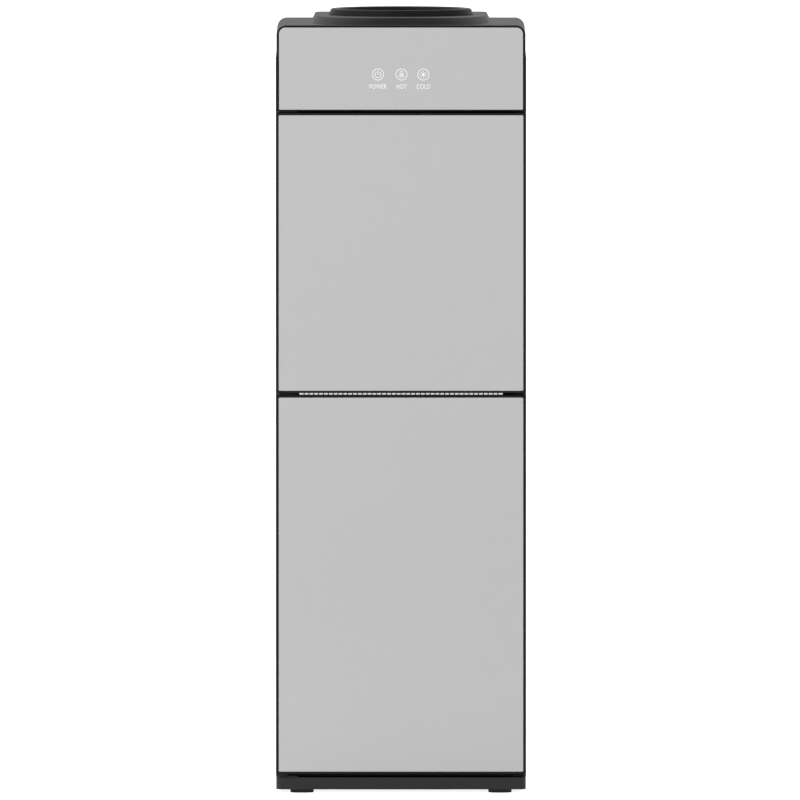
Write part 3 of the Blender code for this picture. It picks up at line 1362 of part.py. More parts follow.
def tap_body(name, x):
    wall = NICHE_BACK - GAP
    tap = rod(name, TAP_BARREL, (x, wall, TAP_Z), (x, SPOUT_Y, TAP_Z), TAP_SIDES)
    flange = ((x, wall, TAP_Z), (x, wall - TAP_FLANGE_LENGTH, TAP_Z))
    join(tap, rod("flange", TAP_FLANGE, *flange, TAP_SIDES))
    tail_end = NICHE_REAR + TAP_TAIL_LENGTH
    tail = ((x, wall - TAP_FLANGE_LENGTH / 2, TAP_Z), (x, tail_end, TAP_Z))
    join(tap, rod("tail", TAP_TAIL, *tail, PIN_SIDES))
    nut = ((x, NICHE_REAR + GAP, TAP_Z), (x, NICHE_REAR + GAP + TAP_NUT_LENGTH, TAP_Z))
    join(tap, rod("nut", TAP_NUT, *nut, NUT_SIDES))
    barb = ((x, BARB_Y, TAP_Z), (x, BARB_Y, TAP_Z - TAP_BARB_DROP))
    join(tap, rod("barb", TAP_BARB, *barb, PIN_SIDES))
    deck = TAP_Z + TAP_COLUMN_RISE
    fall = TAP_Z - TAP_COLUMN_FALL
    column = [
        (0, deck),
        (TAP_COLUMN, deck),
        (TAP_COLUMN, fall + TAP_COLUMN / 2),
        (TAP_SPOUT, fall),
        (TAP_SPOUT, fall - TAP_SPOUT_LENGTH),
        (0, fall - TAP_SPOUT_LENGTH),
    ]
    join(tap, turned("column", column, x, SPOUT_Y, TAP_SIDES))
    low = fall - TAP_SPOUT_LENGTH
    cut(tap, rod("spout_bore", TAP_BORE, (x, SPOUT_Y, low - OVERRUN), (x, SPOUT_Y, fall), PIN_SIDES))
    inside = LEVER_HALF + GAP
    for side in (-1, 1):
        near = x + side * inside
        far = x + side * (inside + EAR_THICKNESS)
        low = (min(near, far), SPOUT_Y - EAR_DEPTH / 2, deck - TAP_COLUMN_RISE / 2)
        high = (max(near, far), SPOUT_Y + EAR_DEPTH / 2, deck + EAR_HEIGHT - GAP)
        join(tap, block("ear", low, high))
    ends = ((x - 2 * inside, SPOUT_Y, PIVOT_Z), (x + 2 * inside, SPOUT_Y, PIVOT_Z))
    cut(tap, rod("pin_hole", LEVER_PIN + RUNNING, *ends, PIN_SIDES))
    return tap


def tap_lever(name, x, pivot):
    lever = rod(name, LEVER_HUB, (x - LEVER_HALF, SPOUT_Y, PIVOT_Z), (x + LEVER_HALF, SPOUT_Y, PIVOT_Z))
    reach = LEVER_HALF + GAP + EAR_THICKNESS
    pin = ((x - reach, SPOUT_Y, PIVOT_Z), (x + reach, SPOUT_Y, PIVOT_Z))
    join(lever, rod("lever_pin", LEVER_PIN, *pin, PIN_SIDES))
    top = PIVOT_Z + LEVER_HUB
    tip = SPOUT_Y - LEVER_REACH
    outline = [
        (SPOUT_Y + LEVER_HUB / 2, top - LEVER_THICKNESS),
        (SPOUT_Y + LEVER_HUB / 2, top),
        (tip + LEVER_TIP, top),
        (tip, top - LEVER_DROOP),
        (tip, top - LEVER_DROOP - LEVER_TIP / 2),
        (tip + LEVER_TIP, top - LEVER_TIP - LEVER_DROOP),
        (SPOUT_Y - LEVER_HUB, top - LEVER_THICKNESS),
    ]
    join(lever, extruded("arm", outline, x - LEVER_HALF + GAP, x + LEVER_HALF - GAP, "YZ"))
    return lever


def taps():
    for name, side, colour in (("hot", -1, (0.45, 0.02, 0.02)), ("cold", 1, (0.02, 0.08, 0.4))):
        x = side * TAP_SPREAD
        black_plastic(tap_body(f"{name}_tap_body", x))
        pivot = pivot_empty(f"{name}_lever_pivot", (x, SPOUT_Y, PIVOT_Z))
        finish(tap_lever(f"{name}_tap_lever", x, pivot), colour, 0.35, 0, pivot)
    top = PIVOT_Z + LEVER_HUB + GAP
    y = SPOUT_Y - LOCK_PLACE_SHARE * LEVER_REACH
    slide = pivot_empty("hot_lock_slide", (-TAP_SPREAD, y, top))
    low = (-TAP_SPREAD - LOCK_HALF, y - LOCK_LENGTH / 2, top)
    high = (-TAP_SPREAD + LOCK_HALF, y + LOCK_LENGTH / 2, top + LOCK_HEIGHT)
    lock = block("hot_tap_lock", low, high)
    notch_low = (low[0] - OVERRUN, y - LOCK_NOTCH, high[2] - LOCK_NOTCH)
    notch_high = (high[0] + OVERRUN, y + LOCK_NOTCH, high[2] + OVERRUN)
    cut(lock, block("lock_notch", notch_low, notch_high))
    finish(lock, (0.6, 0.6, 0.6), 0.4, 0, slide)


def hoses():
    barb_end = TAP_Z - TAP_BARB_DROP - GAP
    under = UPPER_SHELF_TOP - SHEET - HOSE_RADIUS - HOSE_BEND
    cold_x, hot_x = TAP_SPREAD, -TAP_SPREAD
    cold = [
        (0, COLD_TANK_Y, SPIGOT_END - GAP),
        (0, COLD_TANK_Y, under),
        (cold_x, BARB_Y, under),
        (cold_x, BARB_Y, barb_end),
    ]
    hose_rubber(tube("cold_hose", bent_route(cold, HOSE_BEND), HOSE_RADIUS))
    hot_end = HOT_TANK_TOP + SPIGOT_LENGTH + GAP
    hot = [
        (HOT_TANK_X, HOT_TANK_Y, hot_end),
        (HOT_TANK_X, HOT_TANK_Y, under),
        (hot_x, BARB_Y, under),
        (hot_x, BARB_Y, barb_end),
    ]
    hose_rubber(tube("hot_hose", bent_route(hot, HOSE_BEND), HOSE_RADIUS))
    feed_z = HOT_TANK_BOTTOM + 2 * HOT_TANK_EDGE
    feed_end = HOT_TANK_X + HOT_JACKET_RADIUS + SPIGOT + GAP
    feed = [
        (*FEED_PLACE, SPIGOT_END - GAP),
        (*FEED_PLACE, feed_z + 2 * HOSE_BEND),
        (FEED_PLACE[0], HOT_TANK_Y, feed_z),
        (feed_end, HOT_TANK_Y, feed_z),
    ]
    hose_rubber(tube("feed_hose", bent_route(feed, HOSE_BEND), HOSE_RADIUS))
    spout_front = REAR_PANEL_FRONT - DRAIN_SPOUT
    drain = [
        (HOT_TANK_X, HOT_TANK_Y, HOT_TANK_BOTTOM - SPIGOT_LENGTH - GAP),
        (HOT_TANK_X, HOT_TANK_Y, OUTLET_Z),
        (HOT_TANK_X, spout_front - GAP, OUTLET_Z),
    ]
    hose_rubber(tube("drain_hose", bent_route(drain, HOSE_BEND), HOSE_RADIUS))


# Rear fittings


def drain():
    x, z = HOT_TANK_X, OUTLET_Z
    back = REAR_PANEL_BACK + GAP
    end = back + DRAIN_SPOUT_LENGTH
    spout = rod("drain_spout", DRAIN_SPOUT, (x, REAR_PANEL_FRONT - DRAIN_SPOUT, z), (x, end, z))
    join(spout, rod("drain_flange", DRAIN_FLANGE, (x, back, z), (x, back + DRAIN_CAP_WALL, z)))
    pale_plastic(spout)
    pull = pivot_empty("drain_cap_pull", (x, end, z))
    start = back + DRAIN_CAP_WALL + GAP
    outer = DRAIN_SPOUT + GAP + DRAIN_CAP_WALL
    cap = rod("drain_cap", outer, (x, start, z), (x, end + GAP + DRAIN_CAP_WALL, z))
    cut(cap, rod("cap_room", DRAIN_SPOUT + GAP, (x, start - OVERRUN, z), (x, end + GAP, z)))
    black_plastic(cap, pull)


def bezel_half():
    """Half the switch bezel's width and height, from the rockers that it holds."""
    swing = math.hypot(SWITCH_LENGTH, SWITCH_CREST)
    width = 2 * (SWITCH_HALF + GAP) + BEZEL_BORDER / 2
    return width + BEZEL_BORDER, swing + 2 * GAP + BEZEL_BORDER


def rockers():
    half_x, half_z = bezel_half()
    face = REAR_PANEL_BACK + GAP
    front = REAR_PANEL_FRONT - BEZEL_DEPTH
    bezel_low = (SWITCH_X - half_x, face, SWITCH_Z - half_z)
    bezel_high = (SWITCH_X + half_x, face + BEZEL_PROUD, SWITCH_Z + half_z)
    bezel = block("switch_bezel", bezel_low, bezel_high)
    body_low = (SWITCH_X - half_x + BEZEL_BORDER, front, SWITCH_Z - half_z + BEZEL_BORDER)
    body_high = (SWITCH_X + half_x - BEZEL_BORDER, face + BEZEL_PROUD / 2, SWITCH_Z + half_z - BEZEL_BORDER)
    join(bezel, block("bezel_body", body_low, body_high))
    shift = SWITCH_HALF + GAP + BEZEL_BORDER / 4
    swing = math.hypot(SWITCH_LENGTH, SWITCH_CREST) + GAP
    for name, side in (("hot", -1), ("cold", 1)):
        x = SWITCH_X + side * shift
        axis_y = face + SWITCH_PIVOT
        room_low = (x - SWITCH_HALF - GAP, axis_y - SWITCH_KEEL - SWITCH_CREST, SWITCH_Z - swing)
        room_high = (x + SWITCH_HALF + GAP, face + BEZEL_PROUD + OVERRUN, SWITCH_Z + swing)
        cut(bezel, block("rocker_room", room_low, room_high))
        pivot = pivot_empty(f"{name}_switch_pivot", (x, axis_y, SWITCH_Z))
        outline = [
            (-SWITCH_KEEL, -SWITCH_LENGTH / 3),
            (-SWITCH_KEEL, SWITCH_LENGTH / 3),
            (0, SWITCH_LENGTH),
            (SWITCH_CREST, SWITCH_LENGTH),
            (SWITCH_VALLEY, 0),
            (SWITCH_CREST, -SWITCH_LENGTH),
            (0, -SWITCH_LENGTH),
        ]
        turn = Matrix.Rotation(-SWITCH_TILT, 2)
        tilted = [turn @ Vector(point) for point in outline]
        placed = [(axis_y + y, SWITCH_Z + z) for y, z in tilted]
        rocker = extruded(f"{name}_switch", placed, x - SWITCH_HALF, x + SWITCH_HALF, "YZ")
        finish(rocker, (0.3, 0.02, 0.02) if name == "hot" else (0.03, 0.15, 0.04), 0.4, 0, pivot)
    black_plastic(bezel)


def cord_gland():
    x, z = GLAND_X, OUTLET_Z
    back = REAR_PANEL_BACK + GAP
    ends = ((x, back, z), (x, back + GLAND_LENGTH, z))
    gland = rod("cord_gland", GLAND_RADIUS, *ends, end_radius=GLAND_BODY)
    join(gland, rod("gland_body", GLAND_BODY, (x, REAR_PANEL_FRONT - GLAND_LENGTH, z), (x, back + GAP, z)))
    ends = ((x, REAR_PANEL_FRONT - GLAND_LENGTH - OVERRUN, z), (x, back + GLAND_LENGTH + OVERRUN, z))
    cut(gland, rod("gland_bore", GLAND_BORE, *ends, PIN_SIDES))
    black_plastic(gland)


# Cooling circuit


def compressor():
    x, y, r = COMPRESSOR_X, COMPRESSOR_Y, COMPRESSOR_RADIUS
    dome = r * DOME_SHARE
    profile = [(0, SHELL_TOP)]
    for step in range(1, DOME_STEPS + 1):
        angle = step / DOME_STEPS * math.pi / 2
        profile.append((r * math.sin(angle), SHELL_TOP - dome + dome * math.cos(angle)))
    profile += [
        (r, SHELL_SEAM + COMPRESSOR_SEAM),
        (r + COMPRESSOR_SEAM, SHELL_SEAM),
        (r, SHELL_SEAM - COMPRESSOR_SEAM),
        (r, SHELL_BOTTOM + dome / 2),
        (r - dome / 2, SHELL_BOTTOM),
        (0, SHELL_BOTTOM),
    ]
    shell = turned("compressor", profile, x, y, TANK_SIDES)
    half_x, half_y = COMPRESSOR_PLATE_HALF
    outline = rounded_rectangle((x - half_x, y - half_y), (x + half_x, y + half_y), GROMMET_INSET)
    plate = extruded("compressor_plate", outline, PLATE_BOTTOM, PLATE_BOTTOM + COMPRESSOR_PLATE)
    join(shell, plate)
    deep, wide, tall = COMPRESSOR_BOX
    box_low = (x - r - deep, y - wide / 2, SHELL_SEAM - tall)
    box_high = (x - r + deep / 2, y + wide / 2, SHELL_SEAM - COMPRESSOR_SEAM)
    join(shell, block("terminal_box", box_low, box_high))
    finish(shell, (0.02, 0.02, 0.022), 0.45)
    grommet = [
        (GROMMET_RADIUS, GROMMET_TOP),
        (GROMMET_RADIUS - GROMMET_STUD / 2, GROMMET_TOP - GROMMET_HEIGHT / 2),
        (GROMMET_RADIUS, PLINTH_TOP + GAP),
        (GROMMET_STUD + GAP, PLINTH_TOP + GAP),
        (GROMMET_STUD + GAP, GROMMET_TOP),
    ]
    for gx, gy in STUD_PLACES:
        join(shell, turned("grommet", grommet, gx, gy, PIN_SIDES, True))


def serpentine():
    """Points of the condenser's tube, from its inlet at the top right down to its outlet in the bay."""
    bend = CONDENSER_PITCH / 2
    half = CONDENSER_HALF - bend
    points = [(CONDENSER_HALF, TUBE_Y, CONDENSER_TOP)]
    for run in range(1, CONDENSER_RUNS):
        side = -1 if run % 2 else 1
        middle = CONDENSER_TOP - (run - 1 / 2) * CONDENSER_PITCH
        for step in range(CONDENSER_BEND_STEPS + 1):
            angle = math.pi / 2 - step / CONDENSER_BEND_STEPS * math.pi
            points.append((side * (half + bend * math.cos(angle)), TUBE_Y, middle + bend * math.sin(angle)))
    below = REAR_PANEL_BOTTOM - 3 * CONDENSER_TUBE
    outlet = [
        (-half, TUBE_Y, CONDENSER_BOTTOM),
        (DRIER_X, TUBE_Y, CONDENSER_BOTTOM),
        (DRIER_X, TUBE_Y, below),
        (DRIER_X, DRIER_Y, below),
        (DRIER_X, DRIER_Y, DRIER_TOP + GAP),
    ]
    return points + bent_route(outlet, 3 * CONDENSER_TUBE)


def condenser():
    """Serpentine tube with a row of upright wires welded across its back, and its brackets."""
    grid = as_mesh(tube("condenser", serpentine(), CONDENSER_TUBE))
    half = CONDENSER_HALF - CONDENSER_PITCH / 2 - 2 * CONDENSER_TUBE
    reach = CONDENSER_PITCH / 4
    wire_y = TUBE_Y + CONDENSER_TUBE - CONDENSER_WIRE_BITE
    for index in range(CONDENSER_WIRES):
        x = (index / (CONDENSER_WIRES - 1) * 2 - 1) * half
        low = (x - CONDENSER_WIRE, wire_y, CONDENSER_BOTTOM - reach)
        high = (x + CONDENSER_WIRE, wire_y + 2 * CONDENSER_WIRE, CONDENSER_TOP + reach)
        join(grid, block("wire", low, high))
    bracket_front = REAR_PANEL_BACK + GAP
    for x in (-BRACKET_SPREAD, BRACKET_SPREAD):
        for z in (CONDENSER_BOTTOM + CONDENSER_PITCH, CONDENSER_TOP - CONDENSER_PITCH):
            low = (x - BRACKET_HALF, bracket_front, z - CONDENSER_TUBE / 2)
            high = (x + BRACKET_HALF, TUBE_Y, z + CONDENSER_TUBE / 2)
            join(grid, block("bracket", low, high))
    finish(grid, (0.02, 0.02, 0.02), 0.4)


def lines():
    """Suction line from the coil, discharge line to the condenser, and the drier with its capillary."""
    turn = 3 * LINE_RADIUS
    shell_side = COMPRESSOR_X + COMPRESSOR_RADIUS + GAP
    suction = [
        coil_point(COIL_END_RADIUS, COIL_START, COIL_BOTTOM),
        coil_point(COIL_END_RADIUS + turn, COIL_START, COIL_BOTTOM),
        (SUCTION_X, COMPRESSOR_Y, COIL_BOTTOM),
        (SUCTION_X, COMPRESSOR_Y, LINE_Z),
        (shell_side, COMPRESSOR_Y, LINE_Z),
    ]
    pipe_copper(tube("suction_line", bent_route(suction, turn), LINE_RADIUS))
    riser = CONDENSER_HALF + turn
    discharge = [
        (COMPRESSOR_X, COMPRESSOR_Y + COMPRESSOR_RADIUS + GAP, LINE_Z),
        (COMPRESSOR_X, TUBE_Y, LINE_Z),
        (riser, TUBE_Y, LINE_Z),
        (riser, TUBE_Y, CONDENSER_TOP),
        (CONDENSER_HALF + GAP, TUBE_Y, CONDENSER_TOP),
    ]
    pipe_copper(tube("discharge_line", bent_route(discharge, turn), LINE_RADIUS))

    taper = DRIER_RADIUS
    bottom = DRIER_TOP - DRIER_LENGTH
    profile = [
        (0, DRIER_TOP),
        (DRIER_NECK, DRIER_TOP),
        (DRIER_NECK, DRIER_TOP - taper / 2),
        (DRIER_RADIUS, DRIER_TOP - 3 / 2 * taper),
        (DRIER_RADIUS, bottom + 3 / 2 * taper),
        (DRIER_NECK, bottom + taper / 2),
        (DRIER_NECK, bottom),
        (0, bottom),
    ]
    drier = turned("filter_drier", profile, DRIER_X, DRIER_Y)
    capillary = [
        (DRIER_X, DRIER_Y, bottom + CAPILLARY),
        (DRIER_X, DRIER_Y, bottom - turn),
        (CAPILLARY_X, CAPILLARY_Y, bottom - turn),
        (CAPILLARY_X, CAPILLARY_Y, COIL_TOP),
        coil_point(COIL_END_RADIUS + turn, COIL_END, COIL_TOP),
        coil_point(COIL_END_RADIUS, COIL_END, COIL_TOP),
    ]
    route = bent_route(capillary, turn / 2, CAPILLARY_BEND_STEPS)
    join(drier, as_mesh(tube("capillary", route, CAPILLARY, CAPILLARY_SIDES)))
    pipe_copper(drier)


def build():
    clear_scene()
    base_tray()
    feet()
    side_panels()
    rails()
    rear_panel()
    niche_liner()
    tray_and_grille()
    storage()
    door("upper", UPPER_BOTTOM, UPPER_TOP)
    door("lower", LOWER_BOTTOM, LOWER_TOP)
    hinges()
    top_cover()
    fascia()
    bottle_seat()
    cold_tank()
    evaporator()
    hot_tank()
    tank_shelves()
    taps()
    hoses()
    drain()
    rockers()
    cord_gland()
    compressor()
    condenser()
    lines()


build()
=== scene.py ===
import json
import math

import bmesh
import bpy
from mathutils import Matrix, Vector

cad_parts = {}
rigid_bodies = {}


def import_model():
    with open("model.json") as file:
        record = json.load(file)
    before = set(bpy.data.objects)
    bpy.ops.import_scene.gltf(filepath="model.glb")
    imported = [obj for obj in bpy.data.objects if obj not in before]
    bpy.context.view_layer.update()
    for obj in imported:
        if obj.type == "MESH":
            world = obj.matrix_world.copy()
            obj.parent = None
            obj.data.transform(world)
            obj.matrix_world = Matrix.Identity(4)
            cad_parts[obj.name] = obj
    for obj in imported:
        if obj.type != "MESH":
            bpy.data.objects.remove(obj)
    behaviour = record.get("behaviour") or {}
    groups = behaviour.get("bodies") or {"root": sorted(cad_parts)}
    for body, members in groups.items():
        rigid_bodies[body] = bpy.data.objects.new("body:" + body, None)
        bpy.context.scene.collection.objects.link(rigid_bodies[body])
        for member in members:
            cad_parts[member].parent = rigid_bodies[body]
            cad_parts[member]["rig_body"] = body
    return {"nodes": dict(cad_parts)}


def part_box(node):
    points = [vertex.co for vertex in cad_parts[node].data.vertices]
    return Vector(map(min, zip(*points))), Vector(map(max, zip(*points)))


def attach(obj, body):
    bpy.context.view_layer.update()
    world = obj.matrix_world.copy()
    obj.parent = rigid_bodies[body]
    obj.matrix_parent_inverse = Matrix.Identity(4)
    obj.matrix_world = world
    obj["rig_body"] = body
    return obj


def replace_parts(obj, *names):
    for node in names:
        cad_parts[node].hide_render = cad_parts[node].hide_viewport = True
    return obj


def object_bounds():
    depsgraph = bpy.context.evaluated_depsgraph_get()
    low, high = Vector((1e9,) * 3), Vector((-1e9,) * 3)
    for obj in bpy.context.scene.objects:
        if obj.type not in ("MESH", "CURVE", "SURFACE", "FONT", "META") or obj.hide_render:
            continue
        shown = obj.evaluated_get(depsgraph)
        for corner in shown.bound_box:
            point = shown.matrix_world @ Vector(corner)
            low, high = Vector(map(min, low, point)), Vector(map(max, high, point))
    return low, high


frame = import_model()
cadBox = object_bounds()
nodes = frame["nodes"]
mm = 0.001  # lengths are in millimetres up to the function that makes a mesh or a shader node
print("frame loaded:", len(nodes), "nodes")


# colours and nodes

def srgb(code):
    # hex colour as seen on screen, turned to the linear values that a shader takes
    parts = [int(code[i:i + 2], 16) / 255 for i in (1, 3, 5)]
    return tuple(c / 12.92 if c <= 0.04045 else ((c + 0.055) / 1.055) ** 2.4 for c in parts) + (1,)


def addNode(tree, kind, inputs=None, **settings):
    # an input is given a value, or another node's output to be linked to
    node = tree.nodes.new(kind)
    for name, value in settings.items():
        setattr(node, name, value)
    for key, value in (inputs or {}).items():
        if isinstance(value, bpy.types.NodeSocket):
            tree.links.new(value, node.inputs[key])
        else:
            node.inputs[key].default_value = value
    return node


def startMaterial(name, colour, roughness, metallic=0.0, ior=1.5):
    material = bpy.data.materials.new(name)
    material.use_nodes = True
    tree = material.node_tree
    shader = tree.nodes["Principled BSDF"]
    shader.inputs["Base Color"].default_value = srgb(colour)
    shader.inputs["Roughness"].default_value = roughness
    shader.inputs["Metallic"].default_value = metallic
    if not metallic:
        shader.inputs["IOR"].default_value = ior
    place = addNode(tree, "ShaderNodeTexCoord").outputs["Object"]
    return material, tree, shader, place


def noiseAt(tree, place, size, detail, stretch=(1, 1, 1)):
    # noise whose blotches are about `size` millimetres across, longer along an axis by its stretch
    mapped = addNode(tree, "ShaderNodeMapping", {"Vector": place, "Scale": [1 / s for s in stretch]})
    return addNode(tree, "ShaderNodeTexNoise", {
        "Vector": mapped.outputs[0], "Scale": 1 / (size * mm), "Detail": detail,
    }).outputs["Fac"]


def spread(tree, value, low, high, fromLow=0.3, fromHigh=0.7):
    return addNode(tree, "ShaderNodeMapRange", {
        "Value": value, "From Min": fromLow, "From Max": fromHigh, "To Min": low, "To Max": high,
    }).outputs["Result"]


def mixColours(tree, factor, first, second):
    mix = addNode(tree, "ShaderNodeMix", {0: factor, 6: srgb(first), 7: srgb(second)}, data_type="RGBA")
    return mix.outputs[2]


def addBump(tree, shader, height, depth):
    bump = addNode(tree, "ShaderNodeBump", {"Height": height, "Distance": depth * mm, "Strength": 1.0})
    tree.links.new(bump.outputs[0], shader.inputs["Normal"])


def makeFinish(name, colour, roughness, tones=None, gloss=None, bump=None, metallic=0.0, ior=1.5, sheen=None):
    # tones: a noise and two colours, gloss: a noise and two roughnesses, bump: a noise and a depth;
    # a noise is its size, detail and stretch, and one that is named twice is one node
    material, tree, shader, place = startMaterial(name, colour, roughness, metallic, ior)
    if sheen is not None:
        shader.inputs["Specular IOR Level"].default_value = sheen  # the grain shades its own highlights
    made = {}

    def noise(key):
        if key not in made:
            made[key] = noiseAt(tree, place, *key)
        return made[key]

    if tones:
        tree.links.new(mixColours(tree, noise(tones[0]), *tones[1:]), shader.inputs["Base Color"])
    if gloss:
        tree.links.new(spread(tree, noise(gloss[0]), *gloss[1:]), shader.inputs["Roughness"])
    if bump:
        addBump(tree, shader, noise(bump[0]), bump[1])
    return material


# materials, each for one real finish

def mouldedPlastic(name, colour, deepColour, grain, depth, gloss, sheen=0.2):
    # injection-moulded ABS or polypropylene: even colour, spark-eroded grain, gloss that wanders a little
    cloud, fine = (90, 2), (grain, 4)
    return makeFinish(name, colour, gloss, (cloud, deepColour, colour), (fine, gloss - 0.05, gloss + 0.07),
                      (fine, depth), ior=1.49, sheen=sheen)


def glossPlastic(name, colour, deepColour, gloss=0.24):
    # glossy moulded ABS: clear highlight, a hint of flow marks
    flow, grain = (12, 3, (1, 2, 1)), (0.9, 2)
    return makeFinish(name, colour, gloss, (flow, deepColour, colour), (flow, gloss - 0.05, gloss + 0.08),
                      (grain, 0.01), ior=1.53)


def dustyRubber(name, colour, pale):
    # black rubber: nearly matt, greyed by dust and scuffs
    scuff = (3, 5)
    return makeFinish(name, colour, 0.8, (scuff, colour, pale), None, (scuff, 0.08), ior=1.52)


def stoveEnamel():
    # black stoving enamel on the compressor and condenser: semi-gloss, with dust on what faces up
    material, tree, shader, place = startMaterial("blackStoveEnamel", "#161617", 0.32)
    flow = noiseAt(tree, place, 6, 3)
    normal = addNode(tree, "ShaderNodeNewGeometry").outputs["Normal"]
    upward = addNode(tree, "ShaderNodeSeparateXYZ", {0: normal})
    facing = spread(tree, upward.outputs["Z"], 0, 0.5, 0.4, 1)
    dust = addNode(tree, "ShaderNodeMath", {0: facing, 1: flow}, operation="MULTIPLY").outputs[0]
    tree.links.new(mixColours(tree, dust, "#141415", "#5a5853"), shader.inputs["Base Color"])
    tree.links.new(spread(tree, dust, 0.3, 0.7, 0, 0.4), shader.inputs["Roughness"])
    addBump(tree, shader, flow, 0.05)
    return material


def beadFoam():
    # expanded polystyrene: pressed beads 4 mm across with dark joints
    material, tree, shader, place = startMaterial("expandedPolystyrene", "#ecebe6", 0.85, ior=1.4)
    beads = addNode(tree, "ShaderNodeTexVoronoi", {"Vector": place, "Scale": 1 / (4 * mm)},
                    feature="DISTANCE_TO_EDGE")
    joint = spread(tree, beads.outputs["Distance"], 0, 1, 0, 0.12)
    tree.links.new(mixColours(tree, joint, "#cfcdc6", "#efeeea"), shader.inputs["Base Color"])
    addBump(tree, shader, joint, 0.3)
    return material


def siliconeHose():
    # milky silicone tube: soft sheen, slightly translucent, picks up dust
    dust = (9, 4)
    material = makeFinish("siliconeRubber", "#d9d7d0", 0.38, (dust, "#cfccc4", "#e2e0da"), (dust, 0.3, 0.5),
                          ior=1.41)
    shader = material.node_tree.nodes["Principled BSDF"]
    shader.inputs["Subsurface Weight"].default_value = 0.25
    shader.inputs["Subsurface Radius"].default_value = (2 * mm, 1.6 * mm, 1.2 * mm)
    return material


def circuitBoard():
    # green solder mask over copper tracks on glass-fibre laminate
    material, tree, shader, place = startMaterial("solderMaskLaminate", "#1d5a35", 0.3, ior=1.55)
    upright = addNode(tree, "ShaderNodeMapping", {"Vector": place, "Rotation": (math.pi / 2, 0, 0)})
    tracks = addNode(tree, "ShaderNodeTexBrick", {
        "Vector": upright.outputs[0], "Scale": 1 / (8 * mm), "Mortar Size": 0.06,
        "Color1": (0, 0, 0, 1), "Color2": (0.15, 0.15, 0.15, 1), "Mortar": (1, 1, 1, 1),
    })
    tree.links.new(mixColours(tree, tracks.outputs["Fac"], "#1b5331", "#3f8a4e"), shader.inputs["Base Color"])
    addBump(tree, shader, tracks.outputs["Fac"], 0.04)
    return material


# noises named by what they stand for: size in millimetres, detail, and stretch along each axis
coat, cloud, wipe, frost = (140, 2), (220, 1), (30, 3, (3, 1, 1)), (1.2, 2)
haze, brush, bloom, patch = (7, 3, (4, 1, 1)), (0.9, 4, (1, 1, 14)), (5, 4), (14, 5)
finishes = {
    # polyester powder coat: charcoal satin with a soft orange peel, which is drawn a little coarser to show
    "steel": makeFinish("powderCoatedSteel", "#18181a", 0.5, (coat, "#171718", "#19191a"), (coat, 0.47, 0.53),
                        ((1.6, 3), 0.06), ior=1.48, sheen=0.3),
    # float glass painted pale grey behind: dead flat, clear gloss, and faint wipe marks
    "glass": makeFinish("backPaintedGlass", "#bdbdbd", 0.06, (cloud, "#bcbcbd", "#bebebe"),
                        (wipe, 0.05, 0.11), ior=1.52),
    # the ground arris round each pane: a frosted line, paler than the face
    "arris": makeFinish("groundGlassArris", "#c6c8c7", 0.3, None, (frost, 0.25, 0.42), (frost, 0.02),
                        ior=1.52),
    "frame": mouldedPlastic("satinBlackAbs", "#171718", "#141415", 1.2, 0.03, 0.42, 0.12),
    "cover": mouldedPlastic("satinCharcoalAbs", "#1b1b1d", "#18181a", 1.5, 0.03, 0.42, 0.06),
    "liner": mouldedPlastic("charcoalPolystyrene", "#29292b", "#262628", 1.5, 0.03, 0.45),
    "fitting": mouldedPlastic("blackPolypropylene", "#19191a", "#161617", 1.0, 0.03, 0.36),
    "pale": mouldedPlastic("whitePolypropylene", "#d2d1cd", "#c9c7c2", 1.4, 0.02, 0.4),
    "shelf": glossPlastic("greyStyreneShelf", "#b4b5b6", "#aeafb0", 0.2),
    "red": glossPlastic("redAbs", "#b21d1b", "#a11816"),
    "blue": glossPlastic("blueAbs", "#1f4fae", "#1a4499"),
    "green": glossPlastic("greenAbs", "#2f7d3a", "#276c31"),
    # the grille's bright-polished sheet: mirrors what is in front of it, with the haze of wiping
    "grille": makeFinish("polishedStainlessSheet", "#dddcd9", 0.08, (haze, "#d6d5d2", "#e2e1df"),
                         (haze, 0.05, 0.09), metallic=1.0),
    # stainless sheet brushed upright: its lines are drawn coarser than the real 0.2 mm to show
    "tank": makeFinish("brushedStainlessRound", "#c9c8c5", 0.3, (brush, "#b9b8b5", "#d3d2cf"),
                       (brush, 0.24, 0.38), (brush, 0.015), metallic=1.0),
    # bright zinc plate on pressed steel: cool grey with a faint crystalline cloud
    "zinc": makeFinish("zincPlatedSteel", "#b4b7ba", 0.32, (bloom, "#a3a6aa", "#c2c5c6"), (bloom, 0.25, 0.45),
                       metallic=1.0),
    # drawn copper tube, dulled brown in patches where hands and heat have been
    "copper": makeFinish("drawnCopper", "#b87350", 0.34, (patch, "#8f5237", "#c98463"), (patch, 0.48, 0.24),
                         ((1.5, 2, (1, 1, 6)), 0.02), metallic=1.0),
    "enamel": stoveEnamel(),
    "foam": beadFoam(),
    "hose": siliconeHose(),
    "foot": dustyRubber("footRubber", "#1b1b1b", "#2c2b2a"),
    "magnet": dustyRubber("magneticStripRubber", "#2a2624", "#35302d"),
    "board": circuitBoard(),
    # white screen-print ink: slightly chalky, with the mesh of the screen in it
    "ink": makeFinish("screenPrintInk", "#fbfbfb", 0.45, ((0.8, 2), "#f4f4f4", "#ffffff")),
}
print("materials made:", len(finishes))


# pieces: smooth and bevel angles are in degrees

shading = {"smooth": 35, "tube": 50, "pane": 20, "cover": 32, "bevel": 50, "flatSided": 40}
merge = {"within": 0.002 * mm, "flat": math.radians(1)}


def metres(*values):
    return tuple(value * mm for value in values)


def boxOf(node):
    return [[value / mm for value in corner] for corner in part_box(node)]


def quarter(steps, start=0):
    # the angles of a quarter turn, in even steps
    return [step / steps * math.pi / 2 for step in range(start, steps + 1)]


def smooth(piece, angle=shading["smooth"]):
    piece.data.shade_smooth()
    piece.data.set_sharp_from_angle(angle=math.radians(angle))
    return piece


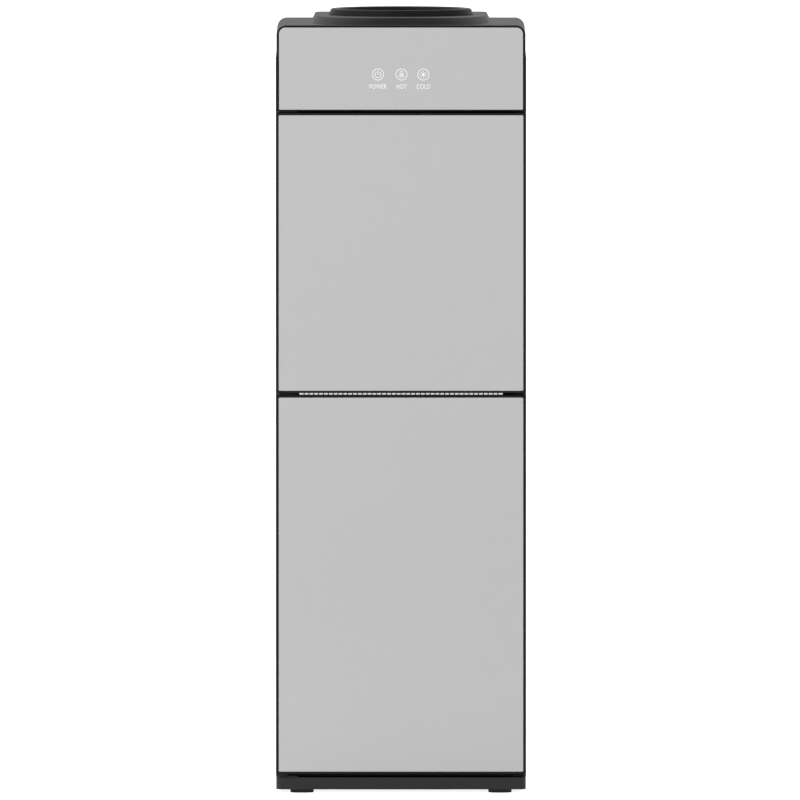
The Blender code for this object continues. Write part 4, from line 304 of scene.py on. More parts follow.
def addPiece(name, bm, *materials, angle=shading["smooth"]):
    mesh = bpy.data.meshes.new(name)
    bm.to_mesh(mesh)
    bm.free()
    for material in materials:
        mesh.materials.append(finishes[material])
    piece = bpy.data.objects.new(name, mesh)
    bpy.context.scene.collection.objects.link(piece)
    return smooth(piece, angle)


def bake(piece):
    # modifiers turned into a plain mesh
    bpy.context.view_layer.update()
    graph = bpy.context.evaluated_depsgraph_get()
    mesh = bpy.data.meshes.new_from_object(piece.evaluated_get(graph))
    piece.modifiers.clear()
    piece.data = mesh
    return piece


def addTo(piece, node):
    # a piece on the body that carries a node;
    # its large flat faces keep their own normals, and only the rounded edges between them blend
    piece.modifiers.new("evenShading", "WEIGHTED_NORMAL").keep_sharp = True
    bake(piece)
    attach(piece, nodes[node]["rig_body"])
    return piece


def standFor(piece, node):
    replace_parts(addTo(piece, node), node)
    return piece


def bevelPiece(piece, width, segments=2, angle=shading["bevel"]):
    edge = piece.modifiers.new("edges", "BEVEL")
    edge.width = width * mm
    edge.segments = segments
    edge.limit_method = "ANGLE"
    edge.angle_limit = math.radians(angle)
    edge.use_clamp_overlap = False
    return smooth(bake(piece), angle)


def solidCopy(node):
    # the CAD node's loose triangles merged, and its flat faces made whole
    bm = bmesh.new()
    bm.from_mesh(nodes[node].data)
    bmesh.ops.remove_doubles(bm, verts=bm.verts, dist=merge["within"])
    bmesh.ops.dissolve_limit(bm, angle_limit=merge["flat"], verts=bm.verts, edges=bm.edges)
    return bm


def arcPath(points, radius=0, steps=8):
    # a flat outline in metres with its corners rounded; a point may carry its own radius as a third value
    points = [metres(*(list(point) + [radius])[:3]) for point in points]
    made = []
    for index, point in enumerate(points):
        corner, r = Vector(point[:2]), point[2]
        if r <= 0:
            made.append(corner)
            continue
        back = Vector(points[index - 1][:2]) - corner
        ahead = Vector(points[(index + 1) % len(points)][:2]) - corner
        turn = back.angle(ahead)
        reach = min(r / math.tan(turn / 2), back.length * 0.49, ahead.length * 0.49)
        r = reach * math.tan(turn / 2)
        back, ahead = back.normalized(), ahead.normalized()
        middle = corner + (back + ahead).normalized() * (r / math.sin(turn / 2))
        first = corner + back * reach - middle
        sweep = first.angle_signed(corner + ahead * reach - middle)
        made += [middle + Matrix.Rotation(-sweep * step / steps, 2) @ first for step in range(steps + 1)]
    return made


def rectangle(low, high):
    return [(low[0], low[1]), (high[0], low[1]), (high[0], high[1]), (low[0], high[1])]


def rod(radius, low, high):
    # the profile of a plain round bar
    return [(0, low), (radius, low), (radius, high), (0, high)]


def addLoft(bm, rings, closed=False):
    # faces between rings of as many points each, with end caps unless the rings close on themselves
    levels = [[bm.verts.new(point) for point in ring] for ring in rings]
    pairs = list(zip(levels, levels[1:] + levels[:1] if closed else levels[1:]))
    for lower, upper in pairs:
        for i in range(len(lower)):
            j = (i + 1) % len(lower)
            bm.faces.new((lower[i], lower[j], upper[j], upper[i]))
    if not closed:
        bm.faces.new(levels[0][::-1])
        bm.faces.new(levels[-1])
    return levels


def outward(bm):
    bmesh.ops.recalc_face_normals(bm, faces=bm.faces)
    return bm


def loft(name, rings, finish):
    bm = bmesh.new()
    addLoft(bm, rings)
    return addPiece(name, outward(bm), finish)


def turned(profile, place=(0, 0, 0), axis="Z", steps=48, looped=False):
    # a profile of (radius, height) turned round an axis through a place; a radius of 0 closes it
    bm = bmesh.new()
    lean = {"X": Matrix.Rotation(math.pi / 2, 4, "Y"), "Y": Matrix.Rotation(-math.pi / 2, 4, "X"),
            "Z": Matrix()}[axis]
    put = Matrix.Translation(metres(*place)) @ lean
    rings = []
    for radius, height in [metres(*point) for point in profile]:
        angles = [math.tau * i / steps for i in range(steps)] if radius else [0]
        rings.append([
            bm.verts.new(put @ Vector((radius * math.cos(a), radius * math.sin(a), height))) for a in angles
        ])
    for one, two in zip(rings, rings[1:] + rings[:1] if looped else rings[1:]):
        for i in range(steps):
            j = (i + 1) % steps
            face = [one[i % len(one)], one[j % len(one)], two[j % len(two)], two[i % len(two)]]
            face = [v for k, v in enumerate(face) if v not in face[:k]]
            if len(face) > 2:
                bm.faces.new(face)
    return outward(bm)


def lathe(name, profile, finish, place=(0, 0, 0), axis="Z", steps=48, looped=False):
    return addPiece(name, turned(profile, place, axis, steps, looped), finish)


def addSlab(bm, outline, low, high, plane="XY", corner=0, steps=8):
    # a flat outline made solid between two levels of the axis that its plane leaves out
    order = {"XY": (0, 1, 2), "XZ": (0, 2, 1), "YZ": (2, 0, 1)}[plane]
    outline = arcPath(outline, corner, steps)
    addLoft(bm, [[[(p[0], p[1], level * mm)[k] for k in order] for p in outline] for level in (low, high)])
    return outward(bm)


def slab(name, outline, low, high, plane, finish, corner=0, steps=8, spin=0.0):
    bm = addSlab(bmesh.new(), outline, low, high, plane, corner, steps)
    bmesh.ops.rotate(bm, verts=bm.verts, matrix=Matrix.Rotation(spin, 3, "Z"))
    return addPiece(name, bm, finish)


def tube(name, path, radius, finish, sides=16):
    # a round bar along points, each ring turned as little as possible from the last
    path = [Vector(metres(*point)) for point in path]
    across = (path[1] - path[0]).normalized().orthogonal().normalized()
    angles = [math.tau * k / sides for k in range(sides)]
    rings = []
    for i, point in enumerate(path):
        along = (path[min(i + 1, len(path) - 1)] - path[max(i - 1, 0)]).normalized()
        across = (across - along * across.dot(along)).normalized()
        other = along.cross(across)
        rings.append([point + (across * math.cos(a) + other * math.sin(a)) * (radius * mm) for a in angles])
    return smooth(loft(name, rings, finish), shading["tube"])


def bend(points, radius, steps=6):
    # a route's corners rounded, for tubes
    points = [Vector(p) for p in points]
    route = [points[0]]
    for before, corner, after in zip(points, points[1:], points[2:]):
        back, ahead = before - corner, after - corner
        reach = min(radius / math.tan(back.angle(ahead) / 2), back.length / 2, ahead.length / 2)
        start, end = corner + back.normalized() * reach, corner + ahead.normalized() * reach
        for t in (step / steps for step in range(steps + 1)):
            route.append(start.lerp(corner, t).lerp(corner.lerp(end, t), t))
    return route + [points[-1]]


def joinShapes(piece, operation, *tools):
    for shape in tools:
        change = piece.modifiers.new(shape.name, "BOOLEAN")
        change.operation = operation
        change.solver = "EXACT"
        change.object = shape
    bake(piece)
    for shape in tools:
        bpy.data.objects.remove(shape, do_unlink=True)
    return piece


def joinPieces(name, *pieces):
    # several meshes made one, keeping their materials
    bm = bmesh.new()
    materials = []
    for piece in pieces:
        start = len(bm.faces)
        bm.from_mesh(piece.data)
        bm.faces.ensure_lookup_table()
        own = list(piece.data.materials)
        materials += [m for m in own if m not in materials]
        for face in bm.faces[start:]:
            face.material_index = materials.index(own[face.material_index])
    mesh = bpy.data.meshes.new(name)
    bm.to_mesh(mesh)
    bm.free()
    for material in materials:
        mesh.materials.append(material)
    for piece in pieces:
        bpy.data.objects.remove(piece, do_unlink=True)
    made = bpy.data.objects.new(name, mesh)
    bpy.context.scene.collection.objects.link(made)
    return made


# a Geometry Nodes tree that sets copies of a piece in a row or round an axis

def repeatTree():
    tree = bpy.data.node_groups.new("repeatPieces", "GeometryNodeTree")
    sockets = {}
    for label, kind in (
        ("Piece", "NodeSocketObject"), ("Count", "NodeSocketInt"), ("Start", "NodeSocketVector"),
        ("Step", "NodeSocketVector"), ("Turn", "NodeSocketVector"), ("Centre", "NodeSocketVector"),
        ("Material", "NodeSocketMaterial"),
    ):
        sockets[label] = tree.interface.new_socket(label, in_out="INPUT", socket_type=kind).identifier
    tree.interface.new_socket("Geometry", in_out="OUTPUT", socket_type="NodeSocketGeometry")
    given = addNode(tree, "NodeGroupInput").outputs
    line = addNode(tree, "GeometryNodeMeshLine", {
        "Count": given["Count"], "Start Location": given["Start"], "Offset": given["Step"],
    }, mode="OFFSET")
    piece = addNode(tree, "GeometryNodeObjectInfo", {"Object": given["Piece"]})
    index = addNode(tree, "GeometryNodeInputIndex")
    turn = addNode(tree, "ShaderNodeVectorMath", {0: given["Turn"], "Scale": index.outputs[0]},
                   operation="SCALE")
    spot = addNode(tree, "GeometryNodeInputPosition")
    swung = addNode(tree, "ShaderNodeVectorRotate", {
        "Vector": spot.outputs[0], "Center": given["Centre"], "Rotation": turn.outputs[0],
    }, rotation_type="EULER_XYZ")
    moved = addNode(tree, "GeometryNodeSetPosition",
                    {"Geometry": line.outputs[0], "Position": swung.outputs[0]})
    copies = addNode(tree, "GeometryNodeInstanceOnPoints", {
        "Points": moved.outputs[0], "Instance": piece.outputs["Geometry"], "Rotation": turn.outputs[0],
    })
    real = addNode(tree, "GeometryNodeRealizeInstances", {0: copies.outputs[0]})
    painted = addNode(tree, "GeometryNodeSetMaterial",
                      {"Geometry": real.outputs[0], "Material": given["Material"]})
    addNode(tree, "NodeGroupOutput", {0: painted.outputs[0]})
    return tree, sockets


repeater, repeaterSockets = repeatTree()


def repeat(name, bm, material, count, start, step=(0, 0, 0), turn=(0, 0, 0), centre=(0, 0, 0)):
    # the small mesh is made round the origin, and each copy is set one step and one turn on from the last
    pattern = addPiece(name + "Pattern", bm, material)
    host = bpy.data.objects.new(name, bpy.data.meshes.new(name))
    bpy.context.scene.collection.objects.link(host)
    change = host.modifiers.new("repeat", "NODES")
    change.node_group = repeater
    for label, value in (
        ("Piece", pattern), ("Count", count), ("Start", metres(*start)), ("Step", metres(*step)),
        ("Turn", turn), ("Centre", metres(*centre)), ("Material", finishes[material]),
    ):
        change[repeaterSockets[label]] = value
    bake(host)
    bpy.data.objects.remove(pattern, do_unlink=True)
    return smooth(host)


# front glass

pane = {"arris": 0.3, "corner": 1.5, "headCorner": 8.0, "sideGap": 0.3, "cornerSteps": 10, "inkRoom": 0.05}


def makePane(name, node, topCorner, setback=0.0):
    (x0, y0, z0), (x1, y1, z1) = boxOf(node)
    x0, x1 = x0 + pane["sideGap"], x1 - pane["sideGap"]  # a dark line to the frame at each side
    y0 += setback
    corners = [(x0, z0), (x1, z0), (x1, z1, topCorner), (x0, z1, topCorner)]
    outline = arcPath(corners, pane["corner"], pane["cornerSteps"])
    middle = Vector(metres((x0 + x1) / 2, (z0 + z1) / 2))
    edge = pane["arris"]

    def ring(inset, y):
        shrink = [p - Vector(math.copysign(inset * mm, d) for d in p - middle) for p in outline]
        return [(p.x, y * mm, p.y) for p in shrink]

    bm = bmesh.new()
    front = addLoft(bm, [ring(edge, y0), ring(0, y0 + edge), ring(0, y1 - edge), ring(edge, y1)])[0]
    for face in outward(bm).faces:
        face.material_index = 0 if set(face.verts) <= set(front) or len(face.verts) > 4 else 1
    standFor(addPiece(name, bm, "glass", "arris", angle=shading["pane"]), node)


makePane("upperDoorPane", "upper_door_glass", pane["corner"])
makePane("lowerDoorPane", "lower_door_glass", pane["corner"])
makePane("fasciaPane", "fascia_glass", pane["headCorner"], pane["inkRoom"])
print("glass done")


# top cover with the bottle platform

cover = {"half": 154.1, "low": 912.3, "top": 951.3, "nose": -159.4, "back": 160, "corner": 12, "wall": 2.6,
         "noseChamfer": 2.2, "backEdge": 6, "backSteps": 6, "lip": 9, "lipLevels": (912.5, 914.7), "spare": 5}
platform = {"top": 960, "half": 106.2, "front": 143, "rear": 113, "sideDraft": 4.5, "frontDraft": 11,
            "topSquareness": 3.1, "footSquareness": 4.6, "corner": 12, "edge": 0.9, "fillet": 1.2,
            "hole": 83.1, "steps": 72}


def coverOutline(inset, low):
    half, top, radius = cover["half"] - inset, cover["top"] - inset, cover["corner"] - inset
    return [(-half, low), (half, low), (half, top, radius), (-half, top, radius)]


def coverRing(inset, y):
    return [(p.x, y * mm, p.y) for p in arcPath(coverOutline(inset, cover["low"]), 0, 14)]


def platformRing(grow, z):
    # the outline in plan: a squared-off ellipse at the front, squarer at its foot, and round rear corners
    share = min((platform["top"] - z) / (platform["top"] - cover["top"]), 1.0)
    half, rear = (platform[key] + platform["sideDraft"] * share + grow for key in ("half", "rear"))
    front = platform["front"] + platform["frontDraft"] * share + grow
    power = 2 / (platform["topSquareness"] + (platform["footSquareness"] - platform["topSquareness"]) * share)
    ring = []
    for step in range(platform["steps"] + 1):
        angle = step / platform["steps"] * math.pi
        across, along = math.cos(angle), math.sin(angle)
        ring.append(metres(-half * math.copysign(abs(across) ** power, across),
                           -front * abs(along) ** power, z))
    corner = max(platform["corner"] + grow, 2)
    rearPart = arcPath([(-half, 0), (half, 0), (half, rear, corner), (-half, rear, corner)], 0, 10)[2:]
    return ring + [(p.x, p.y, z * mm) for p in rearPart]


def makeCover():
    nose, chamfer, soft = cover["nose"], cover["noseChamfer"], cover["backEdge"]
    outer = [coverRing(chamfer, nose), coverRing(chamfer * 0.35, nose + chamfer * 0.25),
             coverRing(0, nose + chamfer)]
    for a in quarter(cover["backSteps"]):
        outer.append(coverRing(soft / 3 * (1 - math.cos(a)), cover["back"] - soft * (1 - math.sin(a))))
    shell = loft("topCover", outer, "cover")

    top, base, edge, fillet = platform["top"], cover["top"], platform["edge"], platform["fillet"]
    wall, spare, arc = cover["wall"], cover["spare"], (0, 0.5, 1.0, math.pi / 2)
    rings = [platformRing(0, base - wall / 2)]
    rings += [platformRing(fillet * (1 - math.sin(a)), base + fillet * (1 - math.cos(a))) for a in arc]
    rings += [platformRing(-edge * (1 - math.cos(a)), top - edge * (1 - math.sin(a))) for a in arc]
    deck = loft("platformSolid", rings, "cover")
    inner = coverOutline(wall, cover["low"] - spare)
    room = slab("coverRoom", inner, nose - spare, cover["back"] - wall, "XZ", "cover", 0, 14)
    under = loft("platformRoom", [platformRing(-wall, base - 15), platformRing(-wall, top - wall)], "cover")
    hole = lathe("seatHole", rod(platform["hole"], base - 10, top + spare), "cover", steps=128)
    joinShapes(shell, "UNION", deck)
    joinShapes(shell, "DIFFERENCE", room, under, hole)
    # a lip turned in over the rear panel keeps the light out
    half, rear, (low, high) = cover["half"] - wall / 2, cover["back"] - wall / 2, cover["lipLevels"]
    outline = rectangle((-half, low), (half, high))
    lip = slab("coverRearLip", outline, rear - cover["lip"] - wall / 2, rear, "XZ", "cover")
    joinShapes(shell, "UNION", lip)
    standFor(smooth(shell, shading["cover"]), "top_cover")


makeCover()
print("cover done")


# bottle seat and water probe

seat = {"ribs": 6, "rib": 2.0, "notches": (-0.4, 6.8), "notchWidth": 3.0, "notchLean": 5,
        "notchLevels": (951.5, 963)}


def makeSeat():
    body = lathe("bottleSeat", [
        (85.0, 967.5), (86.4, 967.15), (87.4, 966.2), (87.75, 964.9), (89.6, 961.0), (89.85, 960.5),
        (89.7, 960.3), (82.5, 960.3), (82.5, 957.4), (76.3, 947.4), (26.0, 917.9), (25.1, 916.6),
        (25.1, 884.3), (24.8, 884.0), (20.8, 884.0), (20.5, 884.3), (20.5, 889.7), (20.8, 890.0),
        (22.5, 890.0), (22.5, 919.2), (23.4, 920.4), (73.0, 949.6), (74.0, 950.8), (76.1, 964.2),
        (76.6, 965.6), (77.8, 966.9), (80.5, 967.5),
    ], "cover", steps=160, looped=True)
    outline = [(25.2, 920.4), (75.0, 949.6), (75.0, 956.0), (67.7, 956.0), (25.2, 926.2)]
    half = seat["rib"] / 2
    turns = [(index + 0.5) / seat["ribs"] * math.tau for index in range(seat["ribs"])]
    joinShapes(body, "UNION", *[
        slab("seatRib", outline, -half, half, "XZ", "cover", 0.8, 3, turn) for turn in turns])
    vents = []
    for x in seat["notches"]:
        # a leaning vent slot in the inner wall, at the rear
        half, lean, (low, high) = seat["notchWidth"] / 2, seat["notchLean"] / 2, seat["notchLevels"]
        outline = [(x - half + lean, low), (x + half + lean, low), (x + half - lean, high),
                   (x - half - lean, high)]
        vents.append(slab("seatVent", outline, 70, 79, "XZ", "cover"))
    joinShapes(body, "DIFFERENCE", *vents)
    standFor(smooth(body), "bottle_seat")


def makeProbe():
    probe = lathe("waterProbe", [
        (0, 936.3), (1.6, 936.1), (3.4, 935.0), (5.0, 933.2), (7.2, 929.0), (7.5, 927.8), (7.5, 890.5),
        (7.3, 890.3), (0, 890.3),
    ], "pale", steps=40)
    parts = [lathe("probeRing", [
        (22.2, 894.1), (22.0, 894.3), (19.9, 894.3), (19.7, 894.1), (19.7, 890.5), (19.9, 890.3),
        (22.0, 890.3), (22.2, 890.5),
    ], "pale", steps=64, looped=True)]
    spoke = rectangle((3.75, -1.2), (20.9, 1.2))
    for index in range(3):
        parts.append(slab("probeSpoke", spoke, 890.6, 894.0, "XY", "pale", spin=index / 3 * math.tau))
    joinShapes(probe, "UNION", *parts)
    standFor(smooth(probe), "water_probe")


makeSeat()
makeProbe()
print("seat done")


# sheet metal, frames, liners and other flat-sided pieces: the CAD shape with its edges softened

softened = {
    "base_tray": ("steel", 0.5), "side_panel_left": ("steel", 0.2), "side_panel_right": ("steel", 0.2),
    "rear_panel": ("steel", 0.3), "mid_rail": ("steel", 0.3), "top_rail": ("steel", 0.3),
    "upper_tank_shelf": ("steel", 0.3), "lower_tank_shelf": ("steel", 0.3),
    "upper_door_frame": ("frame", 0.15), "lower_door_frame": ("frame", 0.15), "fascia_frame": ("frame", 0.15),
    "upper_door_back": ("liner", 0.25), "lower_door_back": ("liner", 0.25),
    "niche_liner": ("liner", 0.4), "storage_liner": ("liner", 0.4), "drip_tray": ("liner", 0.25),
    "storage_shelf": ("shelf", 0.5), "drip_grille": ("grille", 0.12), "switch_bezel": ("fitting", 0.3),
    "hinge_bottom": ("steel", 0.15), "hinge_middle": ("steel", 0.15), "hinge_top": ("steel", 0.15),
    "upper_door_magnet": ("magnet", 0.4), "lower_door_magnet": ("magnet", 0.4),
    "indicator_board": ("board", 0.1),
}
grilleLip = {"depth": 1.5, "lean": math.radians(2.7)}


def pieceName(node):
    return node.title().replace("_", "")


for node, (finish, width) in softened.items():
    piece = bevelPiece(addPiece(pieceName(node), solidCopy(node), finish), width, angle=shading["flatSided"])
    standFor(piece, node)
    if node == "drip_grille":
        # the pressed front lip leans back, so it shows the bright room between the doors
        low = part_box(node)[0]
        for vertex in piece.data.vertices:
            if vertex.co.y < low.y + grilleLip["depth"] * mm:
                vertex.co.y += (vertex.co.z - low.z) * math.tan(grilleLip["lean"])
print("flat-sided pieces done")


# feet

feet = {"foot_front_left": (-122.6, -136), "foot_front_right": (122.6, -136),
        "foot_rear_left": (-122.6, 113), "foot_rear_right": (122.6, 113)}
for node, (x, y) in feet.items():
    profile = [(0, 0.5), (9.6, 0.5), (10.2, 0), (13.6, 0), (14.3, 0.3), (14.5, 0.9), (14.5, 3.6), (14.1, 4.2),
               (4.0, 4.2), (4.0, 10.2), (3.7, 10.5), (0, 10.5)]
    standFor(lathe(pieceName(node), profile, "foot", (x, y, 0), steps=60), node)
print("feet done")


# taps, levers and the hot tap's lock

tap = {"spread": 50, "axis": 736.05, "spout": -92.3, "pivot": 754.85, "tip": -123.3, "leverTop": 760.35,
       "leverHalf": 7.5, "gripRibs": 5, "barbY": -39.4, "threads": 12, "lockTeeth": 5}


def softRod(radius, half, edge):
    # the profile of a round bar with chamfered ends
    return [(0, -half), (radius - edge, -half), (radius, edge - half), (radius, half - edge),
            (radius - edge, half), (0, half)]


def makeTap(name, node, x):
    z, y = tap["axis"], tap["spout"]
    # along +Y from the spout's axis: barrel, flange against the liner, then the threaded tail
    barrel = lathe(name, [(0, 0), (8.4, 0), (9.0, 0.6), (9.0, 37.0), (9.4, 38.0), (13.1, 38.0), (13.5, 38.4),
                          (13.5, 41.7), (13.2, 42.0), (0, 42.0)], "fitting", (x, y, z), "Y", 40)
    thread = [(6.0 - 0.35 * (k % 2), 41 + 0.72 * k) for k in range(2 * tap["threads"])]
    tail = [(0, 38)] + thread + [(5.6, 58.6), (5.2, 59.2), (0, 59.2)]
    column = [(0, 749.05), (10.9, 749.05), (11.5, 748.45), (11.5, 722.6), (11.1, 721.0), (8.0, 716.6),
              (7.5, 715.4), (7.5, 700.7), (7.1, 700.05), (5.3, 700.05), (5.0, 700.35), (5.0, 715.8),
              (0, 715.8)]
    tapBarb = [(0, -14.0), (2.9, -14.0), (3.5, -12.6), (3.0, -11.4), (3.5, -10.2), (3.0, -9.0), (3.5, -7.8),
               (3.2, -6.5), (3.2, 0), (0, 0)]
    nut = [(x + 10 * math.cos(a), z + 10 * math.sin(a)) for a in (math.tau * i / 6 for i in range(6))]
    parts = [
        lathe("tapTail", tail, "fitting", (x, y - 4.4, z), "Y", 40),
        lathe("tapColumn", column, "fitting", (x, y, 0), "Z", 40),
        lathe("tapBarb", tapBarb, "fitting", (x, tap["barbY"], z), "Z", 40),
        slab("tapNut", nut, -47.2, -43.2, "XZ", "fitting", 0.6, 4),
    ]
    ear = [(y - 6, 742.6), (y + 6, 742.6), (y + 6, 764.7, 5), (y - 6, 764.7, 5)]
    for low, high in ((x - 10.9, x - 8.1), (x + 8.1, x + 10.9)):
        parts.append(slab("tapEar", ear, low, high, "YZ", "fitting"))
    joinShapes(barrel, "UNION", *parts)
    pinHole = lathe("pinHole", rod(2.45, -12, 12), "fitting", (x, y, tap["pivot"]), "X", 32)
    joinShapes(barrel, "DIFFERENCE", pinHole)
    standFor(bevelPiece(barrel, 0.25), node)


def makeLever(name, node, x, finish):
    y, top, tip, half = tap["spout"], tap["leverTop"], tap["tip"], tap["leverHalf"]
    pivot = (x, y, tap["pivot"])
    pin = lathe("leverPin", softRod(2.2, 10.7, 0.3), finish, pivot, "X", 28)
    hub = lathe("leverHub", softRod(5.5, 7.8, 0.4), finish, pivot, "X", 48)
    outline = [(y + 2.75, top - 5.2, 0.6), (y + 2.75, top, 1), (tip + 4, top, 4), (tip, top - 3.2, 1),
               (tip, top - 4.6, 0.6), (tip + 3, top - 6, 2), (y - 5.5, top - 5.2, 1)]
    arm = bevelPiece(slab(name, outline, x - half, x + half, "YZ", finish, 0, 6), 0.8, 3)
    joinShapes(arm, "UNION", hub, pin)
    # finger ribs: shallow grooves cut across the arm near its tip
    groove = turned(rod(0.45, -half * 0.8, half * 0.8), axis="X", steps=12)
    grooves = repeat("leverGrooves", groove, "fitting", tap["gripRibs"], (x, tip + 5.2, top + 0.1),
                     (0, 1.7, 0))
    joinShapes(arm, "DIFFERENCE", grooves)
    standFor(smooth(arm), node)


def makeLock():
    (x0, y0, z0), (x1, y1, z1) = boxOf("hot_tap_lock")
    outline = [(y0, z0, 0.3), (y1, z0, 0.3), (y1, z1, 0.9)]
    for tooth in range(tap["lockTeeth"]):
        place = y1 - 1.5 - 1.5 * tooth
        outline += [(place + 0.35, z1, 0.1), (place, z1 - 0.6, 0.1), (place - 0.35, z1, 0.1)]
    outline.append((y0, z1, 0.9))
    standFor(bevelPiece(slab("hotTapLock", outline, x0, x1, "YZ", "pale", 0, 4), 0.2), "hot_tap_lock")


makeTap("hotTapBody", "hot_tap_body", -tap["spread"])
makeTap("coldTapBody", "cold_tap_body", tap["spread"])
makeLever("hotTapLever", "hot_tap_lever", -tap["spread"], "red")
makeLever("coldTapLever", "cold_tap_lever", tap["spread"], "blue")
makeLock()
print("taps done")


# rear fittings: rocker switches, cord gland, drain spout and cap

switch = {"half": 6.5, "length": 9.5, "keel": 5.5, "crest": 3.6, "valley": 2.0, "tilt": math.radians(9),
          "axis": (138.0, 864.0), "markWidth": 0.55, "markHalf": 1.5, "inkRise": 0.02}
drain = {"x": -58, "z": 214, "gripRibs": 28, "threads": 7}
drainPlace, glandPlace = (drain["x"], 0, drain["z"]), (112, 0, 214)


def makeRocker(name, node, x, finish):
    length, crest, valley, keel = switch["length"], switch["crest"], switch["valley"], switch["keel"]
    outline = [(-keel, -length / 3, 1), (0, -length, 0.6), (crest, -length, 0.7), (valley, 0, 14),
               (crest, length, 0.7), (0, length, 0.6), (-keel, length / 3, 1)]
    # the slab's first axis is the one that stands out of the switch
    rocker = bevelPiece(slab(name, outline, -switch["half"], switch["half"], "YZ", finish, 0, 6), 0.35)
    slope = math.atan2(crest - valley, length)
    half, width = switch["markHalf"], switch["markWidth"]
    ring = [(half, -0.1), (half, 0.05), (half - width, 0.05), (half - width, -0.1)]
    bar = rectangle((-width / 2, -half), (width / 2, half))
    marks = []
    for side, bm in ((-1, turned(ring, steps=32, looped=True)), (1, addSlab(bmesh.new(), bar, -0.1, 0.05))):
        lean = Matrix.Rotation(-math.pi / 2 - side * slope, 4, "X")
        spot = Matrix.Translation(metres(0, (crest + valley) / 2 + switch["inkRise"], side * length / 2))
        bmesh.ops.transform(bm, matrix=spot @ lean, verts=bm.verts)
        marks.append(addPiece("switchMark", bm, "ink"))
    rocker = joinPieces(name, rocker, *marks)
    place = Matrix.Translation(metres(x, *switch["axis"])) @ Matrix.Rotation(-switch["tilt"], 4, "X")
    rocker.data.transform(place)
    standFor(rocker, node)


def makeSpout():
    profile = [(0, 129.3), (2.9, 129.3), (3.5, 130.6), (3.1, 131.6), (3.5, 132.8), (3.1, 133.8), (3.4, 134.8),
               (5.6, 134.9), (6.0, 135.3), (6.0, 136.8), (10.6, 136.8), (11.0, 137.2), (11.0, 138.6),
               (10.6, 139.0), (5.5, 139.1)]
    for turn in range(drain["threads"]):
        low = 139.5 + 1.35 * turn
        profile += [(5.5, low), (5.95, low + 0.35), (5.95, low + 0.65), (5.5, low + 1.0)]
    profile += [(5.4, 149.4), (5.4, 150.4), (5.0, 150.8), (4.0, 150.8), (3.6, 150.4), (3.6, 133.0),
                (0, 133.0)]
    standFor(lathe("drainSpout", profile, "pale", drainPlace, "Y"), "drain_spout")


def makeCap():
    shell = lathe("drainCap", [
        (0, 153.3), (7.2, 153.3), (7.9, 153.0), (8.15, 152.3), (8.15, 139.8), (7.8, 139.3), (6.6, 139.3),
        (6.35, 139.6), (6.35, 151.1), (0, 151.1),
    ], "fitting", drainPlace, "Y")
    rib = addSlab(bmesh.new(), [(-0.3, -0.5), (0.3, -0.5), (0.15, 0.35), (-0.15, 0.35)], -6, 6, "XZ")
    ribs = repeat("capRibs", rib, "fitting", drain["gripRibs"], (drain["x"], 146.2, drain["z"] + 8.13),
                  turn=(0, math.tau / drain["gripRibs"], 0), centre=drainPlace)
    standFor(joinPieces("drainCap", shell, ribs), "drain_cap")


def makeGland():
    standFor(lathe("cordGland", [
        (3.5, 128.6), (3.8, 128.3), (6.2, 128.3), (6.5, 128.6), (6.5, 136.7), (8.7, 136.8), (9.0, 137.1),
        (9.0, 138.6), (8.6, 139.0), (7.6, 139.1), (7.4, 140.0), (6.8, 140.2), (6.8, 140.7), (7.2, 140.9),
        (7.1, 141.8), (6.6, 142.0), (6.6, 142.5), (6.9, 142.7), (6.6, 143.6), (6.2, 143.8), (3.8, 143.8),
        (3.5, 143.5),
    ], "fitting", glandPlace, "Y", looped=True), "cord_gland")


makeRocker("hotSwitch", "hot_switch", 67.45, "red")
makeRocker("coldSwitch", "cold_switch", 82.55, "green")
makeSpout()
makeCap()
makeGland()
print("rear fittings done")


# cooling circuit: condenser, compressor, copper lines and drier

condenser = {"half": 122, "tube": 2.4, "y": 154.8, "low": 245, "pitch": 63, "runs": 9, "wire": 0.9,
             "wires": 29, "wireHalf": 85.7, "wireRows": (152.5, 157.1), "wireEnds": (229.3, 764.7),
             "bracket": 98, "panel": 136.5}
condenserTop = condenser["low"] + (condenser["runs"] - 1) * condenser["pitch"]
compressor = {"x": 50, "y": 78.75, "radius": 46, "top": 159.6, "dome": 16.1, "plateHalf": (62, 46),
              "stud": (52, 36)}
circuit = {"line": 3, "lineZ": 112, "drier": (-130, 117), "capillary": 1.2, "tankY": 25.4, "coil": 59.5,
           "coilLow": 718, "coilHigh": 864, "coilAngles": (math.radians(40), math.radians(140)),
           "coilSteps": 120, "capillaryY": 127}


def coilPoint(radius, angle, z):
    return (radius * math.cos(angle), circuit["tankY"] + radius * math.sin(angle), z)


def crossHead(r, h):
    # pan head with a cross recess, its axis along +Y, from its radius and height
    profile = [(0, h), (r * 0.45, h), (r * 0.8, h * 0.82), (r * 0.97, h * 0.45), (r, h * 0.1), (r, -0.1),
               (0, -0.1)]
    head = lathe("screwHead", profile, "zinc", axis="Y", steps=20)
    joinShapes(head, "DIFFERENCE", *[
        slab("screwCross", rectangle((-long, -wide), (long, wide)), h * 0.4, h * 1.5, "XZ", "zinc")
        for long, wide in ((r * 0.55, r * 0.13), (r * 0.13, r * 0.55))])
    bm = bmesh.new()
    bm.from_mesh(head.data)
    bpy.data.objects.remove(head, do_unlink=True)
    return bm


